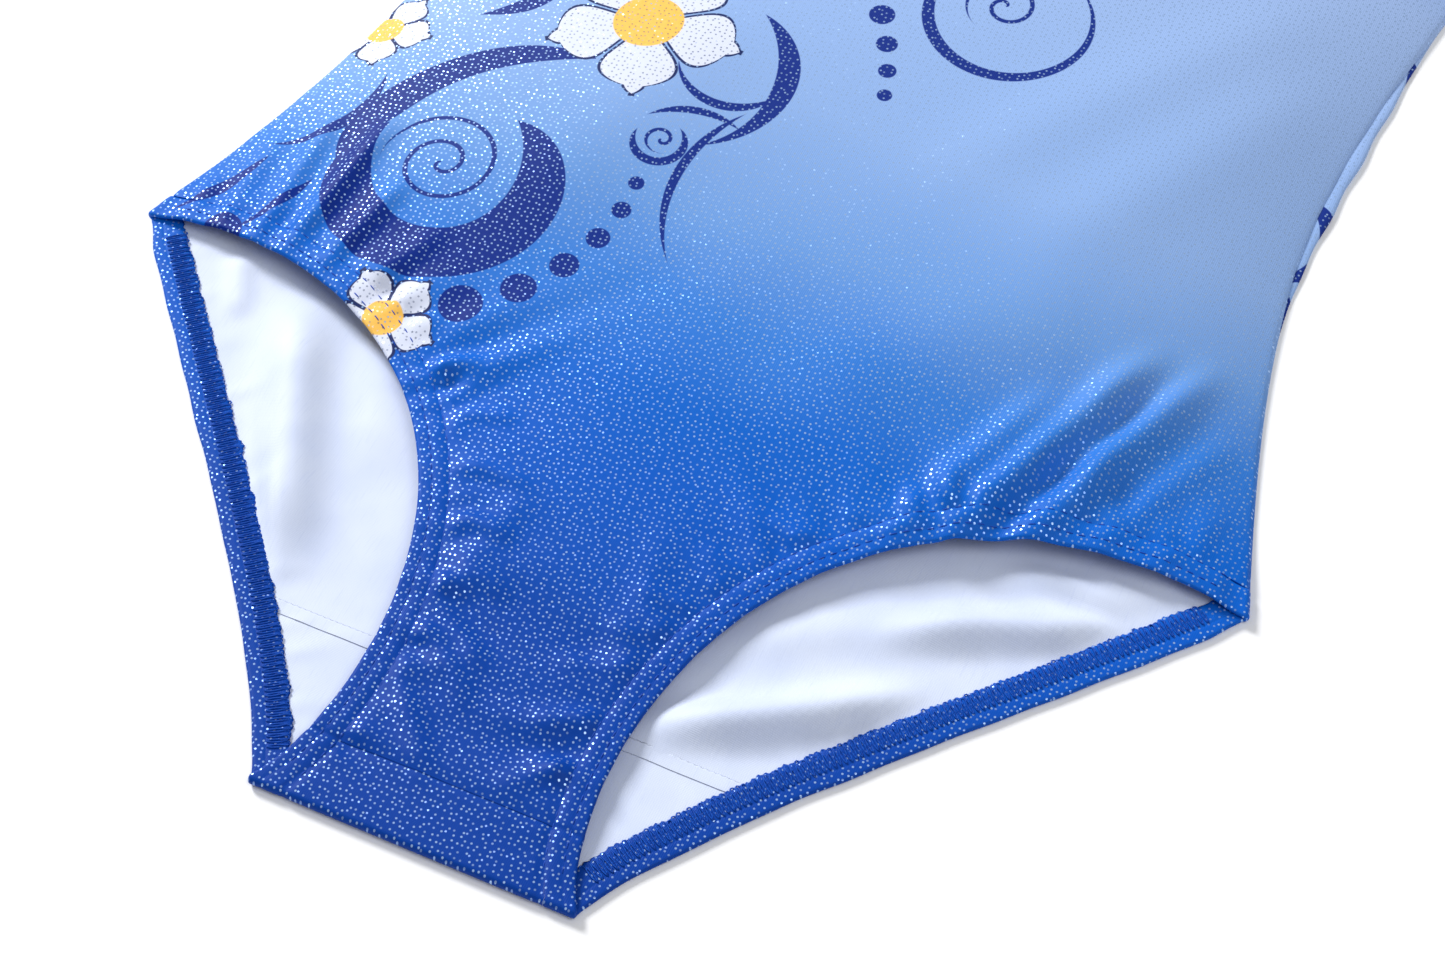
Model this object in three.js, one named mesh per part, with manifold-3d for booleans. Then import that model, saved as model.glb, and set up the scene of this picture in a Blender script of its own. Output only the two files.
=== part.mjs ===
// A child's sleeveless gymnastics leotard, laid flat on its back with the front up.
// Millimetres. +X is the wearer's left, +Y runs from the crotch fold to the shoulders, +Z is up.
// The back panel lies flat on the table. The front panel arches over it as a thin shell and comes down to it
// along the side seams, the shoulders and the crotch fold, which leaves the leg, neck and arm openings free.
import * as THREE from "three";
import { mergeVertices } from "three/addons/utils/BufferGeometryUtils.js";
import Module from "manifold-3d";

const wasm = await Module();
wasm.setup();

// Overall sizes
const LENGTH = 540; // crotch fold to the neck end of the shoulder seam
const HIP_WIDTH = 280; // across the two corners where the leg openings meet the side seams
const WAIST_WIDTH = 235;
const CHEST_WIDTH = 270; // between the armpits
const BODY_RISE = 11.5; // how far the front stands over the back in the middle of the body

// Heights along the body
const HIP_HEIGHT = 127.5;
const WAIST_HEIGHT = 239;
const ARMPIT_HEIGHT = 373;
const FRONT_CROTCH_SEAM = 16.5;
const BACK_CROTCH_SEAM = 42;

// Crotch, shoulders and neck
const FOLD_WIDTH = 77;
const STRAP_WIDTH = 38;
const SHOULDER_DROP = 8;
const NECK_WIDTH = 130;
const FRONT_NECK_DEPTH = 115;
const BACK_NECK_DEPTH = 60;

// Cloth, elastic, seams and thread
const CLOTH = 0.8;
const GAP = 0.3; // air between touching pieces
const ELASTIC_WIDTH = 7;
const ELASTIC_THICKNESS = 0.5;
const ELASTIC_INSET = 0.8;
const SEAM_WIDTH = 4;
const SEAM_INSET = 1;
const SEAM_THICKNESS = 0.5;
const THREAD_WIDTH = 0.6;
const THREAD_THICKNESS = 0.4;
const LINING_WIDTH = 58;
const LINING_LENGTH = 97;
const LINING_THICKNESS = 0.4;
const LINING_STEP = 0.5; // the lining's end is placed to this
const LABEL_WIDTH = 28;
const LABEL_LENGTH = 20;
const LABEL_THICKNESS = 0.3;
const LABEL_HEIGHT = 195;

// Mesh fineness
const CURVE_STEPS = 16;
const ROW_STEP = 13;
const COLUMNS = [0, 0.2, 0.4, 0.55, 0.68, 0.78, 0.86, 0.93, 1, 1.06];
const MARGIN = 6; // how far cutting solids pass the cloth

// Levels that follow from the cloth: inner pieces lie on the back, and the front closes over them.
const INNER_LEVEL = CLOTH + GAP;
const SIDE_LEVEL = INNER_LEVEL + SEAM_THICKNESS + GAP + CLOTH;
const UNDER_FRONT = CLOTH + GAP + ELASTIC_THICKNESS;
const HEM_WIDTH = ELASTIC_INSET + ELASTIC_WIDTH;

const MATERIALS = {
  blue: new THREE.MeshStandardMaterial({ name: "blue_print", color: 0x2f68d0, roughness: 0.45 }),
  pale: new THREE.MeshStandardMaterial({ name: "pale_print", color: 0x9fb6e4, roughness: 0.45 }),
  white: new THREE.MeshStandardMaterial({ name: "white_cloth", color: 0xe9eefb, roughness: 0.8 }),
  elastic: new THREE.MeshStandardMaterial({ name: "elastic", color: 0xf2f2f0, roughness: 0.7 }),
  thread: new THREE.MeshStandardMaterial({ name: "thread", color: 0x1d4cae, roughness: 0.6 }),
};

// ---- Outlines, as curves in the plan ----

function curvePoints(points) {
  const [start, first, second, end] = points.map(([x, y]) => new THREE.Vector2(x, y));
  return new THREE.CubicBezierCurve(start, first, second, end).getPoints(CURVE_STEPS);
}

// The points of an edge moved to its left by a distance.
function offsetEdge(edge, distance) {
  return edge.map((point, place) => {
    const ahead = edge[Math.min(place + 1, edge.length - 1)];
    const behind = edge[Math.max(place - 1, 0)];
    const along = ahead.clone().sub(behind).normalize();
    return new THREE.Vector2(point.x - along.y * distance, point.y + along.x * distance);
  });
}

// How far out an edge that climbs all the way is at a height.
function edgeAt(edge, height) {
  const above = edge.findIndex((point) => point.y > height);
  const [low, high] = [edge[above - 1], edge[above]];
  return THREE.MathUtils.mapLinear(height, low.y, high.y, low.x, high.x);
}

// The edge of one leg opening, from the crotch fold out to the hip corner. The front is cut high in an arch.
function frontLegEdge() {
  const corner = [HIP_WIDTH / 2, HIP_HEIGHT];
  return curvePoints([[FOLD_WIDTH / 2, 0], [17, 41.5], [HIP_WIDTH / 8, HIP_HEIGHT + 10.5], corner]);
}

// The back is cut full, so its edge runs nearly straight from the fold to the hip corner.
function backLegEdge() {
  const corner = [HIP_WIDTH / 2, HIP_HEIGHT];
  const fold = [FOLD_WIDTH / 2, 0];
  return curvePoints([fold, [FOLD_WIDTH / 2 + 9.5, 28], [corner[0] - 28, HIP_HEIGHT - 35], corner]);
}

function sideEdge() {
  const hip = [HIP_WIDTH / 2, HIP_HEIGHT];
  const waist = [WAIST_WIDTH / 2, WAIST_HEIGHT];
  const armpit = [CHEST_WIDTH / 2, ARMPIT_HEIGHT];
  const lower = curvePoints([hip, [hip[0] - 9, hip[1] + 30], [waist[0], waist[1] - 38], waist]);
  const upper = curvePoints([waist, [waist[0], waist[1] + 46], [armpit[0] - 8, armpit[1] - 45], armpit]);
  return [...lower, ...upper.slice(1)];
}

function shoulderPoint() {
  return [NECK_WIDTH / 2 + STRAP_WIDTH, LENGTH - SHOULDER_DROP];
}

function armholeEdge() {
  const armpit = [CHEST_WIDTH / 2, ARMPIT_HEIGHT];
  const shoulder = shoulderPoint();
  const rise = shoulder[1] - armpit[1];
  const low = [armpit[0] - 35, armpit[1] + 0.08 * rise];
  const high = [shoulder[0] - 11, armpit[1] + 0.42 * rise];
  return curvePoints([armpit, low, high, shoulder]);
}

function neckEdge(depth) {
  const shoulder = [NECK_WIDTH / 2, LENGTH];
  const middle = [0, LENGTH - depth];
  const high = [shoulder[0] - 3, LENGTH - 0.6 * depth];
  return curvePoints([shoulder, high, [0.6 * shoulder[0], middle[1]], middle]);
}

// The whole outline of one panel: its right half, then the same points mirrored back.
function panelShape(legEdge, neckDepth) {
  const half = [...legEdge, ...sideEdge().slice(1), ...armholeEdge().slice(1), ...neckEdge(neckDepth)];
  const other = half.slice(0, -1).reverse().map((point) => new THREE.Vector2(-point.x, point.y));
  return new THREE.Shape([...half, ...other]);
}

// ---- Heights ----

const ENVELOPE = [...backLegEdge(), ...sideEdge().slice(1)];

// Half the width of the body at a height along it, level above the armpits.
function halfWidth(y) {
  if (y <= ENVELOPE[0].y) return ENVELOPE[0].x;
  const above = ENVELOPE.findIndex((point) => point.y > y);
  if (above < 0) return ENVELOPE.at(-1).x;
  const [low, high] = [ENVELOPE[above - 1], ENVELOPE[above]];
  return THREE.MathUtils.mapLinear(y, low.y, high.y, low.x, high.x);
}

function shoulderLine(x) {
  const across = THREE.MathUtils.clamp((Math.abs(x) - NECK_WIDTH / 2) / STRAP_WIDTH, 0, 1);
  return LENGTH - SHOULDER_DROP * across;
}

// The outside of the front: a flat-topped arch both along the body and across it.
function frontTop(x, y) {
  const along = THREE.MathUtils.clamp(y / shoulderLine(x), 0, 1);
  const across = Math.min(Math.abs(x) / halfWidth(y), COLUMNS.at(-1));
  return SIDE_LEVEL + BODY_RISE * (1 - Math.abs(2 * along - 1) ** 3.2) * (1 - across ** 4);
}

const frontUnderside = (x, y) => frontTop(x, y) - CLOTH;
const underFrontHem = (x, y) => frontTop(x, y) - UNDER_FRONT;
const onFront = (x, y) => frontTop(x, y) + GAP;
const onBack = () => INNER_LEVEL;

// ---- Solids ----

function solid(geometry) {
  const bare = geometry.clone();
  bare.deleteAttribute("normal");
  bare.deleteAttribute("uv");
  const merged = mergeVertices(bare, 1e-4);
  const vertProperties = merged.attributes.position.array;
  const triVerts = new Uint32Array(merged.index.array);
  return new wasm.Manifold(new wasm.Mesh({ numProp: 3, vertProperties, triVerts }));
}

function geometryOf(manifold) {
  const mesh = manifold.getMesh();
  const geometry = new THREE.BufferGeometry();
  geometry.setAttribute("position", new THREE.BufferAttribute(mesh.vertProperties, 3));
  geometry.setIndex(new THREE.BufferAttribute(mesh.triVerts, 1));
  geometry.computeVertexNormals();
  return geometry;
}

function upright(shape, height) {
  return solid(new THREE.ExtrudeGeometry(shape, { depth: height, bevelEnabled: false }));
}

function block(low, high) {
  const size = high.map((value, axis) => value - low[axis]);
  const geometry = new THREE.BoxGeometry(...size);
  geometry.translate(...low.map((value, axis) => value + size[axis] / 2));
  return solid(geometry);
}

// Everything between two heights along the body.
function stretch(from, to) {
  return block([-HIP_WIDTH, from, -MARGIN], [HIP_WIDTH, to, 4 * MARGIN + BODY_RISE]);
}

// A closed box whose rings of four corners follow a path. The ends are capped.
function loft(rings) {
  const positions = rings.flat(2);
  const index = [];
  for (let ring = 0; ring < rings.length - 1; ring++) {
    for (let corner = 0; corner < 4; corner++) {
      const here = 4 * ring + corner;
      const next = 4 * ring + ((corner + 1) % 4);
      index.push(here, next + 4, next, here, here + 4, next + 4);
    }
  }
  const last = 4 * (rings.length - 1);
  index.push(0, 1, 2, 0, 2, 3, last, last + 2, last + 1, last, last + 3, last + 2);
  const geometry = new THREE.BufferGeometry();
  geometry.setAttribute("position", new THREE.Float32BufferAttribute(positions, 3));
  geometry.setIndex(index);
  return solid(geometry);
}

// A flat band beside an edge, on its left, between two distances from it.
function band(edge, near, far, base, thickness) {
  const [inner, outer] = [offsetEdge(edge, near), offsetEdge(edge, far)];
  const corner = (point, lift) => [point.x, point.y, base(point.x, point.y) + lift];
  const rings = edge.map((_, place) => {
    const [start, end] = [inner[place], outer[place]];
    return [corner(start, 0), corner(start, thickness), corner(end, thickness), corner(end, 0)];
  });
  return loft(rings);
}

// Heights of the mesh rows: one at each place where the outline turns, and even steps between them.
function rowHeights() {
  const shoulder = LENGTH - SHOULDER_DROP;
  const knots = [-MARGIN, 0, HIP_HEIGHT, WAIST_HEIGHT, ARMPIT_HEIGHT, shoulder, LENGTH, LENGTH + MARGIN];
  const heights = [knots[0]];
  knots.slice(1).forEach((knot, place) => {
    const steps = Math.ceil((knot - knots[place]) / ROW_STEP);
    for (let step = 1; step <= steps; step++) {
      heights.push(THREE.MathUtils.lerp(knots[place], knot, step / steps));
    }
  });
  return heights;
}

// A sheet between two surfaces, over the whole body and a little past its edges.
function sheet(lower, upper) {
  const across = [...COLUMNS.slice(1).reverse().map((share) => -share), ...COLUMNS];
  const heights = rowHeights();
  const rows = heights.length - 1;
  const wide = across.length;
  const positions = [];
  for (const surface of [lower, upper]) {
    for (const y of heights) {
      for (const share of across) {
        const x = share * halfWidth(y);
        positions.push(x, y, surface(x, y));
      }
    }
  }
  const top = wide * (rows + 1);
  const index = [];
  const quad = (a, b, c, d) => index.push(a, b, c, a, c, d);
  for (let row = 0; row < rows; row++) {
    for (let column = 0; column < wide - 1; column++) {
      const here = row * wide + column;
      quad(here, here + wide, here + wide + 1, here + 1);
      quad(top + here, top + here + 1, top + here + wide + 1, top + here + wide);
    }
    const [start, end] = [row * wide, row * wide + wide - 1];
    quad(start, top + start, top + start + wide, start + wide);
    quad(end, end + wide, top + end + wide, top + end);
  }
  for (let column = 0; column < wide - 1; column++) {
    const far = rows * wide + column;
    quad(column, column + 1, top + column + 1, top + column);
    quad(far, top + far, top + far + 1, far + 1);
  }
  const geometry = new THREE.BufferGeometry();
  geometry.setAttribute("position", new THREE.Float32BufferAttribute(positions, 3));
  geometry.setIndex(index);
  return solid(geometry);
}

function mirrored(geometry) {
  const copy = geometry.clone().scale(-1, 1, 1);
  const index = copy.index.array;
  for (let corner = 0; corner < index.length; corner += 3) {
    [index[corner], index[corner + 1]] = [index[corner + 1], index[corner]];
  }
  copy.computeVertexNormals();
  return copy;
}

// ---- Pieces ----

const FRONT_SHAPE = panelShape(frontLegEdge(), FRONT_NECK_DEPTH);
const BACK_SHAPE = panelShape(backLegEdge(), BACK_NECK_DEPTH);
const TALL = 4 * MARGIN + BODY_RISE;
const frontShell = sheet(frontUnderside, frontTop).intersect(upright(FRONT_SHAPE, TALL));
const backSheet = upright(BACK_SHAPE, CLOTH);
const backPrism = upright(BACK_SHAPE, TALL);

function frontPanel() {
  return frontShell.intersect(stretch(FRONT_CROTCH_SEAM + GAP / 2, LENGTH + MARGIN));
}

function backPanel() {
  return backSheet.intersect(stretch(BACK_CROTCH_SEAM + GAP / 2, LENGTH + MARGIN));
}

// The gusset runs from the front seam, down round the crotch fold and on under the body to the back seam.
function crotchGusset() {
  const upperLeg = frontShell.intersect(stretch(-MARGIN, FRONT_CROTCH_SEAM - GAP / 2));
  const lowerLeg = backSheet.intersect(stretch(-MARGIN, BACK_CROTCH_SEAM - GAP / 2));
  const filled = sheet(() => 0, frontTop).intersect(upright(FRONT_SHAPE, TALL));
  return upperLeg.add(lowerLeg).add(filled.intersect(stretch(-MARGIN, CLOTH)));
}

// It lies over the back crotch seam, and starts where the front hem has risen clear of it.
function crotchLining() {
  const base = INNER_LEVEL + SEAM_THICKNESS + GAP;
  const top = base + LINING_THICKNESS;
  const half = LINING_WIDTH / 2;
  let start = INNER_LEVEL;
  while (underFrontHem(half, start) < top + GAP) start += LINING_STEP;
  return block([-half, start, base], [half, start + LINING_LENGTH, top]);
}

// Elastic in a turned hem: one arc under the front's edge and one on the back's edge, joined where they meet.
function elasticRing(frontEdge, backEdge, keep) {
  const over = band(frontEdge, ELASTIC_INSET, HEM_WIDTH, underFrontHem, ELASTIC_THICKNESS);
  const under = band(backEdge, ELASTIC_INSET, HEM_WIDTH, onBack, ELASTIC_THICKNESS);
  return over.add(under).intersect(keep);
}

function legElastic() {
  const keep = backPrism.intersect(stretch(CLOTH + GAP, LENGTH));
  return elasticRing(frontLegEdge(), backLegEdge(), keep);
}

function armholeElastic() {
  const edge = armholeEdge();
  return elasticRing(edge, edge, backPrism);
}

// Both ends of each neck edge, right shoulder to left shoulder.
function fullNeckEdge(depth) {
  const half = neckEdge(depth);
  const other = half.slice(0, -1).reverse().map((point) => new THREE.Vector2(-point.x, point.y));
  return [...half, ...other];
}

function neckElastic() {
  return elasticRing(fullNeckEdge(FRONT_NECK_DEPTH), fullNeckEdge(BACK_NECK_DEPTH), backPrism);
}

// A line of stitches on the outside of a front hem, just inside its inner edge.
function topstitch(edge) {
  return band(edge, HEM_WIDTH - THREAD_WIDTH, HEM_WIDTH, onFront, THREAD_THICKNESS).intersect(backPrism);
}

function sideSeam() {
  const clear = HEM_WIDTH + 2 * GAP;
  const edge = sideEdge();
  const seam = band(edge, SEAM_INSET, SEAM_INSET + SEAM_WIDTH, onBack, SEAM_THICKNESS);
  return seam.intersect(stretch(HIP_HEIGHT + 1.6 * clear, ARMPIT_HEIGHT - clear));
}

function shoulderSeam() {
  const [outerX, outerY] = shoulderPoint();
  const inner = new THREE.Vector2(NECK_WIDTH / 2, LENGTH);
  const outer = new THREE.Vector2(outerX, outerY);
  const clear = (HEM_WIDTH + 2 * GAP) / STRAP_WIDTH;
  const line = [outer.clone().lerp(inner, clear), inner.clone().lerp(outer, clear)];
  return band(line, SEAM_INSET, SEAM_INSET + SEAM_WIDTH, onBack, SEAM_THICKNESS);
}

// A seam straight across the crotch, between the two leg elastics.
function crossSeam(height, half, base) {
  const line = [-1, -0.5, 0, 0.5, 1].map((share) => new THREE.Vector2(share * half, height));
  return band(line, -SEAM_WIDTH / 2, SEAM_WIDTH / 2, base, SEAM_THICKNESS);
}

function frontCrotchSeam() {
  return crossSeam(FRONT_CROTCH_SEAM, halfBetweenHems(frontLegEdge(), FRONT_CROTCH_SEAM), underFrontHem);
}

function backCrotchSeam() {
  return crossSeam(BACK_CROTCH_SEAM, halfBetweenHems(backLegEdge(), BACK_CROTCH_SEAM), onBack);
}

// Half the room for a seam between the two leg hems.
function halfBetweenHems(edge, height) {
  const hem = offsetEdge(edge, HEM_WIDTH + 2 * GAP);
  const [below, above] = [height - SEAM_WIDTH / 2, height + SEAM_WIDTH / 2];
  return Math.min(edgeAt(hem, below), edgeAt(hem, above));
}

function careLabel() {
  const top = LABEL_HEIGHT + LABEL_LENGTH;
  const side = Math.min(halfWidth(LABEL_HEIGHT), halfWidth(top));
  const seam = side - SEAM_INSET - SEAM_WIDTH - 2 * GAP;
  const low = [seam - LABEL_WIDTH, LABEL_HEIGHT, INNER_LEVEL];
  return block(low, [seam, top, INNER_LEVEL + LABEL_THICKNESS]);
}

// ---- Assembly ----

const group = new THREE.Group();
group.name = "leotard";
group.position.y = -LENGTH / 2; // the origin lies under the middle of the outline, on the table

function addPiece(name, geometry, material) {
  const mesh = new THREE.Mesh(geometry, material.clone());
  mesh.name = name;
  group.add(mesh);
}

function addPair(name, manifold, material) {
  const geometry = geometryOf(manifold);
  addPiece("left_" + name, geometry, material);
  addPiece("right_" + name, mirrored(geometry), material);
}

addPiece("front_panel", geometryOf(frontPanel()), MATERIALS.pale);
addPiece("back_panel", geometryOf(backPanel()), MATERIALS.pale);
addPiece("crotch_gusset", geometryOf(crotchGusset()), MATERIALS.blue);
addPiece("crotch_lining", geometryOf(crotchLining()), MATERIALS.white);
addPiece("neck_elastic", geometryOf(neckElastic()), MATERIALS.elastic);
addPair("leg_elastic", legElastic(), MATERIALS.elastic);
addPair("armhole_elastic", armholeElastic(), MATERIALS.elastic);
addPair("side_seam", sideSeam(), MATERIALS.thread);
addPair("shoulder_seam", shoulderSeam(), MATERIALS.thread);
addPiece("front_crotch_seam", geometryOf(frontCrotchSeam()), MATERIALS.thread);
addPiece("back_crotch_seam", geometryOf(backCrotchSeam()), MATERIALS.thread);
addPair("leg_topstitch", topstitch(frontLegEdge()), MATERIALS.thread);
addPair("armhole_topstitch", topstitch(armholeEdge()), MATERIALS.thread);
addPiece("neck_topstitch", geometryOf(topstitch(fullNeckEdge(FRONT_NECK_DEPTH))), MATERIALS.thread);
addPiece("care_label", geometryOf(careLabel()), MATERIALS.white);

export default group;
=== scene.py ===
"""A child's gymnastics leotard, lying flat on its back with the front up.

The printed panels, the turned hems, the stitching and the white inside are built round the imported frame.
Lengths are in millimetres until a mesh is written. X is the wearer's left, Y runs from the crotch fold
to the shoulders, starting at 0 on the fold, and Z is up from the table.
"""

import logging
import math
from dataclasses import dataclass, field
from enum import Enum
from typing import Callable, Sequence

import bpy
import numpy as np
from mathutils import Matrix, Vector
from mathutils.geometry import delaunay_2d_cdt


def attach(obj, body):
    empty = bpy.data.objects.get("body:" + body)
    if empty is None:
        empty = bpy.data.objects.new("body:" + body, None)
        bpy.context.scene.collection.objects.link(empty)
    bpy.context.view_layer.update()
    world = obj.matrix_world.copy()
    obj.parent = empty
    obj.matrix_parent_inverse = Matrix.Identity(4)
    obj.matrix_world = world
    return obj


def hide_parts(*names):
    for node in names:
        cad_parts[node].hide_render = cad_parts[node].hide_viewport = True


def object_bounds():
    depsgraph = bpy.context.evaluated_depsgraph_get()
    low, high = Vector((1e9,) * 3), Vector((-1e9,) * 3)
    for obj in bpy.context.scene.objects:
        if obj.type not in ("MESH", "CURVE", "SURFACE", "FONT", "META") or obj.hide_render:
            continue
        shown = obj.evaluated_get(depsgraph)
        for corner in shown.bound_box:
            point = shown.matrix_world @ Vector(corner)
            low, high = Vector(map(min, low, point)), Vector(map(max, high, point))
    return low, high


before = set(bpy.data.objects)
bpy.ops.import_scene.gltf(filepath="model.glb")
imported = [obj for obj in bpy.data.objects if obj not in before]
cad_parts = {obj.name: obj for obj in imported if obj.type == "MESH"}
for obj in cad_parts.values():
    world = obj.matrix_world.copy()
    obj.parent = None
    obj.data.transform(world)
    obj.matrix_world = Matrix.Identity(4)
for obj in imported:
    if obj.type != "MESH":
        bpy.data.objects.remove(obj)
CAD_LOW, CAD_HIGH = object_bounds()

LOG = logging.getLogger("leotard")
MM = 0.001
SEED = 20
RING_CLEARANCE = 1.9
HEM_TUCK = 6.9

Array = np.ndarray
Colour = tuple[float, float, float, float]
Height = Callable[[Array, Array], Array]


# ---------------------------------------------------------------- curves in the plan


def bezier(points: Sequence[Sequence[float]], steps: int = 160) -> Array:
    """Points along a cubic curve.

    The curve is the sum of the four points weighted by the Bernstein polynomials of t.

    Args:
        points: start, two handles and end.
        steps: number of stretches.

    Returns:
        An array of steps + 1 points.
    """
    t = np.linspace(0, 1, steps + 1)[:, None]
    a, b, c, d = np.asarray(points, float)
    return (1 - t) ** 3 * a + 3 * (1 - t) ** 2 * t * b + 3 * (1 - t) * t**2 * c + t**3 * d


def evenly(points: Array, step: float) -> Array:
    """The same line with its points a fixed distance apart."""
    run = run_of(points)
    count = max(2, round(run[-1] / step) + 1)
    at = np.linspace(0, run[-1], count)
    return np.stack([np.interp(at, run, points[:, axis]) for axis in range(points.shape[1])], 1)


def run_of(points: Array) -> Array:
    """Distance along a line at each of its points."""
    return np.r_[0, np.cumsum(np.linalg.norm(np.diff(points, axis=0), axis=1))]


def left_of(points: Array) -> Array:
    """Unit vectors square to a line, on its left."""
    along = np.gradient(points, axis=0)
    along /= np.maximum(np.linalg.norm(along, axis=1, keepdims=True), 1e-9)
    return np.stack([-along[:, 1], along[:, 0]], 1)


def mirror(points: Array) -> Array:
    """The same points on the wearer's other side."""
    return points * np.array([-1.0, 1.0])


def smooth(x: Array, low: float, high: float) -> Array:
    """A smooth step from 0 at low to 1 at high."""
    t = np.clip((x - low) / (high - low), 0, 1)
    return t * t * (3 - 2 * t)


@dataclass(frozen=True)
class Cut:
    """The outline of the panels, as they lie flat."""

    length: float
    hip_width: float
    waist_width: float = 235.0
    chest_width: float = 270.0
    hip_height: float = 127.5
    waist_height: float = 239.0
    armpit_height: float = 373.0
    fold_width: float = 77.0
    strap_width: float = 38.0
    shoulder_drop: float = 8.0
    neck_width: float = 130.0
    front_neck_depth: float = 115.0
    back_neck_depth: float = 60.0
    front_crotch_seam: float = 16.5
    back_crotch_seam: float = 42.0

    def front_leg(self) -> Array:
        """The front's high arch, from the crotch fold to the hip corner."""
        half, high = self.hip_width / 2, self.hip_height
        return bezier([(self.fold_width / 2, 0), (17, 41.5), (half / 4, high + 10.5), (half, high)])

    def back_leg(self) -> Array:
        """The back's fuller edge, from the crotch fold to the hip corner."""
        half, high, fold = self.hip_width / 2, self.hip_height, self.fold_width / 2
        return bezier([(fold, 0), (fold + 9.5, 28), (half - 28, high - 35), (half, high)])

    def side(self) -> Array:
        """The side seam, from the hip corner past the waist to the armpit."""
        hip, waist, chest = self.hip_width / 2, self.waist_width / 2, self.chest_width / 2
        low, middle, top = self.hip_height, self.waist_height, self.armpit_height
        lower = bezier([(hip, low), (hip - 9, low + 30), (waist, middle - 38), (waist, middle)])
        upper = bezier([(waist, middle), (waist, middle + 46), (chest - 8, top - 45), (chest, top)])
        return np.vstack([lower, upper[1:]])

    def armhole(self) -> Array:
        """The armhole, from the armpit to the outer end of the shoulder."""
        x, y = self.chest_width / 2, self.armpit_height
        end = (self.neck_width / 2 + self.strap_width, self.length - self.shoulder_drop)
        rise = end[1] - y
        return bezier([(x, y), (x - 35, y + 0.08 * rise), (end[0] - 11, y + 0.42 * rise), end])

    def shoulder(self) -> Array:
        """The shoulder seam, from its outer end to the neck."""
        x = self.neck_width / 2
        return np.linspace((x + self.strap_width, self.length - self.shoulder_drop), (x, self.length), 40)

    def neck(self, depth: float) -> Array:
        """A neck edge, from the left shoulder down round the neck to the right shoulder."""
        x, low = self.neck_width / 2, self.length - depth
        half = bezier([(x, self.length), (x - 3, self.length - 0.6 * depth), (0.6 * x, low), (0, low)])
        return np.vstack([half, mirror(half[:-1])[::-1]])

    def outline(self, leg: Array, depth: float) -> Array:
        """One panel's whole outline, anticlockwise."""
        half = np.vstack([leg, self.side()[1:], self.armhole()[1:]])
        return np.vstack([half, self.neck(depth)[1:-1], mirror(half)[::-1]])

    def half_width(self, y: Array) -> Array:
        """Half the body's width at a height along it."""
        edge = np.vstack([self.back_leg(), self.side()[1:]])
        return np.interp(y, edge[:, 1], edge[:, 0])

    def shoulder_line(self, x: Array) -> Array:
        """How far up the shoulder seam lies."""
        across = np.clip((np.abs(x) - self.neck_width / 2) / self.strap_width, 0, 1)
        return self.length - self.shoulder_drop * across


# ---------------------------------------------------------------- folds


@dataclass(frozen=True)
class Fold:
    """A soft ridge from one place to another.

    Its height falls off across it as a bell curve and fades out at both ends.
    """

    start: tuple[float, float]
    end: tuple[float, float]
    height: float
    width: float
    fade: float = 0.3
    bow: float = 0.0

    def at(self, x: Array, y: Array) -> Array:
        """Height of the ridge at each place."""
        a, b = np.array(self.start, float), np.array(self.end, float)
        along = b - a
        size = float(np.hypot(*along))
        along /= size
        run = ((x - a[0]) * along[0] + (y - a[1]) * along[1]) / size
        off = (x - a[0]) * -along[1] + (y - a[1]) * along[0]
        off = off - self.bow * 4 * run * (1 - run)
        ends = smooth(run, -0.02, self.fade) * (1 - smooth(run, 1 - self.fade, 1.02))
        return self.height * ends * np.exp(-((off / self.width) ** 2))


def ripple(run: Array, longest: float, shortest: float, seed: int, waves: int = 9) -> Array:
    """An uneven ripple along a line: a sum of sine waves of random phase, about 1 high."""
    draw = np.random.default_rng(seed)
    lengths = np.geomspace(longest, shortest, waves)
    phases = draw.uniform(0, 2 * np.pi, waves)
    total = sum(np.sin(2 * np.pi * run / size + phase) for size, phase in zip(lengths, phases))
    return total / math.sqrt(waves / 2) * 0.6


class EdgeField:
    """Distance to an edge, and the distance along it, for many places at once."""

    def __init__(self, edge: Array) -> None:
        """Keeps the edge with its points 1.5 mm apart."""
        self.edge = evenly(edge, 1.5)
        self.run = run_of(self.edge)

    def at(self, x: Array, y: Array) -> tuple[Array, Array]:
        """Distance from the edge and distance along it.

        Each place is dropped square onto the two stretches beside its nearest point.

        Args:
            x: places across.
            y: places along.

        Returns:
            The distances from the edge, and the distances along it.
        """
        shape = np.shape(x)
        places = np.stack([np.ravel(x), np.ravel(y)], 1)
        off = np.empty(len(places))
        run = np.empty(len(places))
        for first in range(0, len(places), 20000):
            part = places[first : first + 20000]
            gaps = ((part[:, None, :] - self.edge[None]) ** 2).sum(2)
            near = gaps.argmin(1)
            best = np.sqrt(gaps[np.arange(len(part)), near])
            at = self.run[near]
            for low in (np.maximum(near - 1, 0), np.minimum(near, len(self.edge) - 2)):
                a, b = self.edge[low], self.edge[low + 1]
                side = b - a
                share = ((part - a) * side).sum(1) / (side**2).sum(1)
                share = np.clip(share, 0, 1)
                gap = np.linalg.norm(a + share[:, None] * side - part, axis=1)
                better = gap < best
                at = np.where(better, self.run[low] + share * (self.run[low + 1] - self.run[low]), at)
                best = np.where(better, gap, best)
            off[first : first + 20000] = best
            run[first : first + 20000] = at
        return off.reshape(shape), run.reshape(shape)


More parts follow.
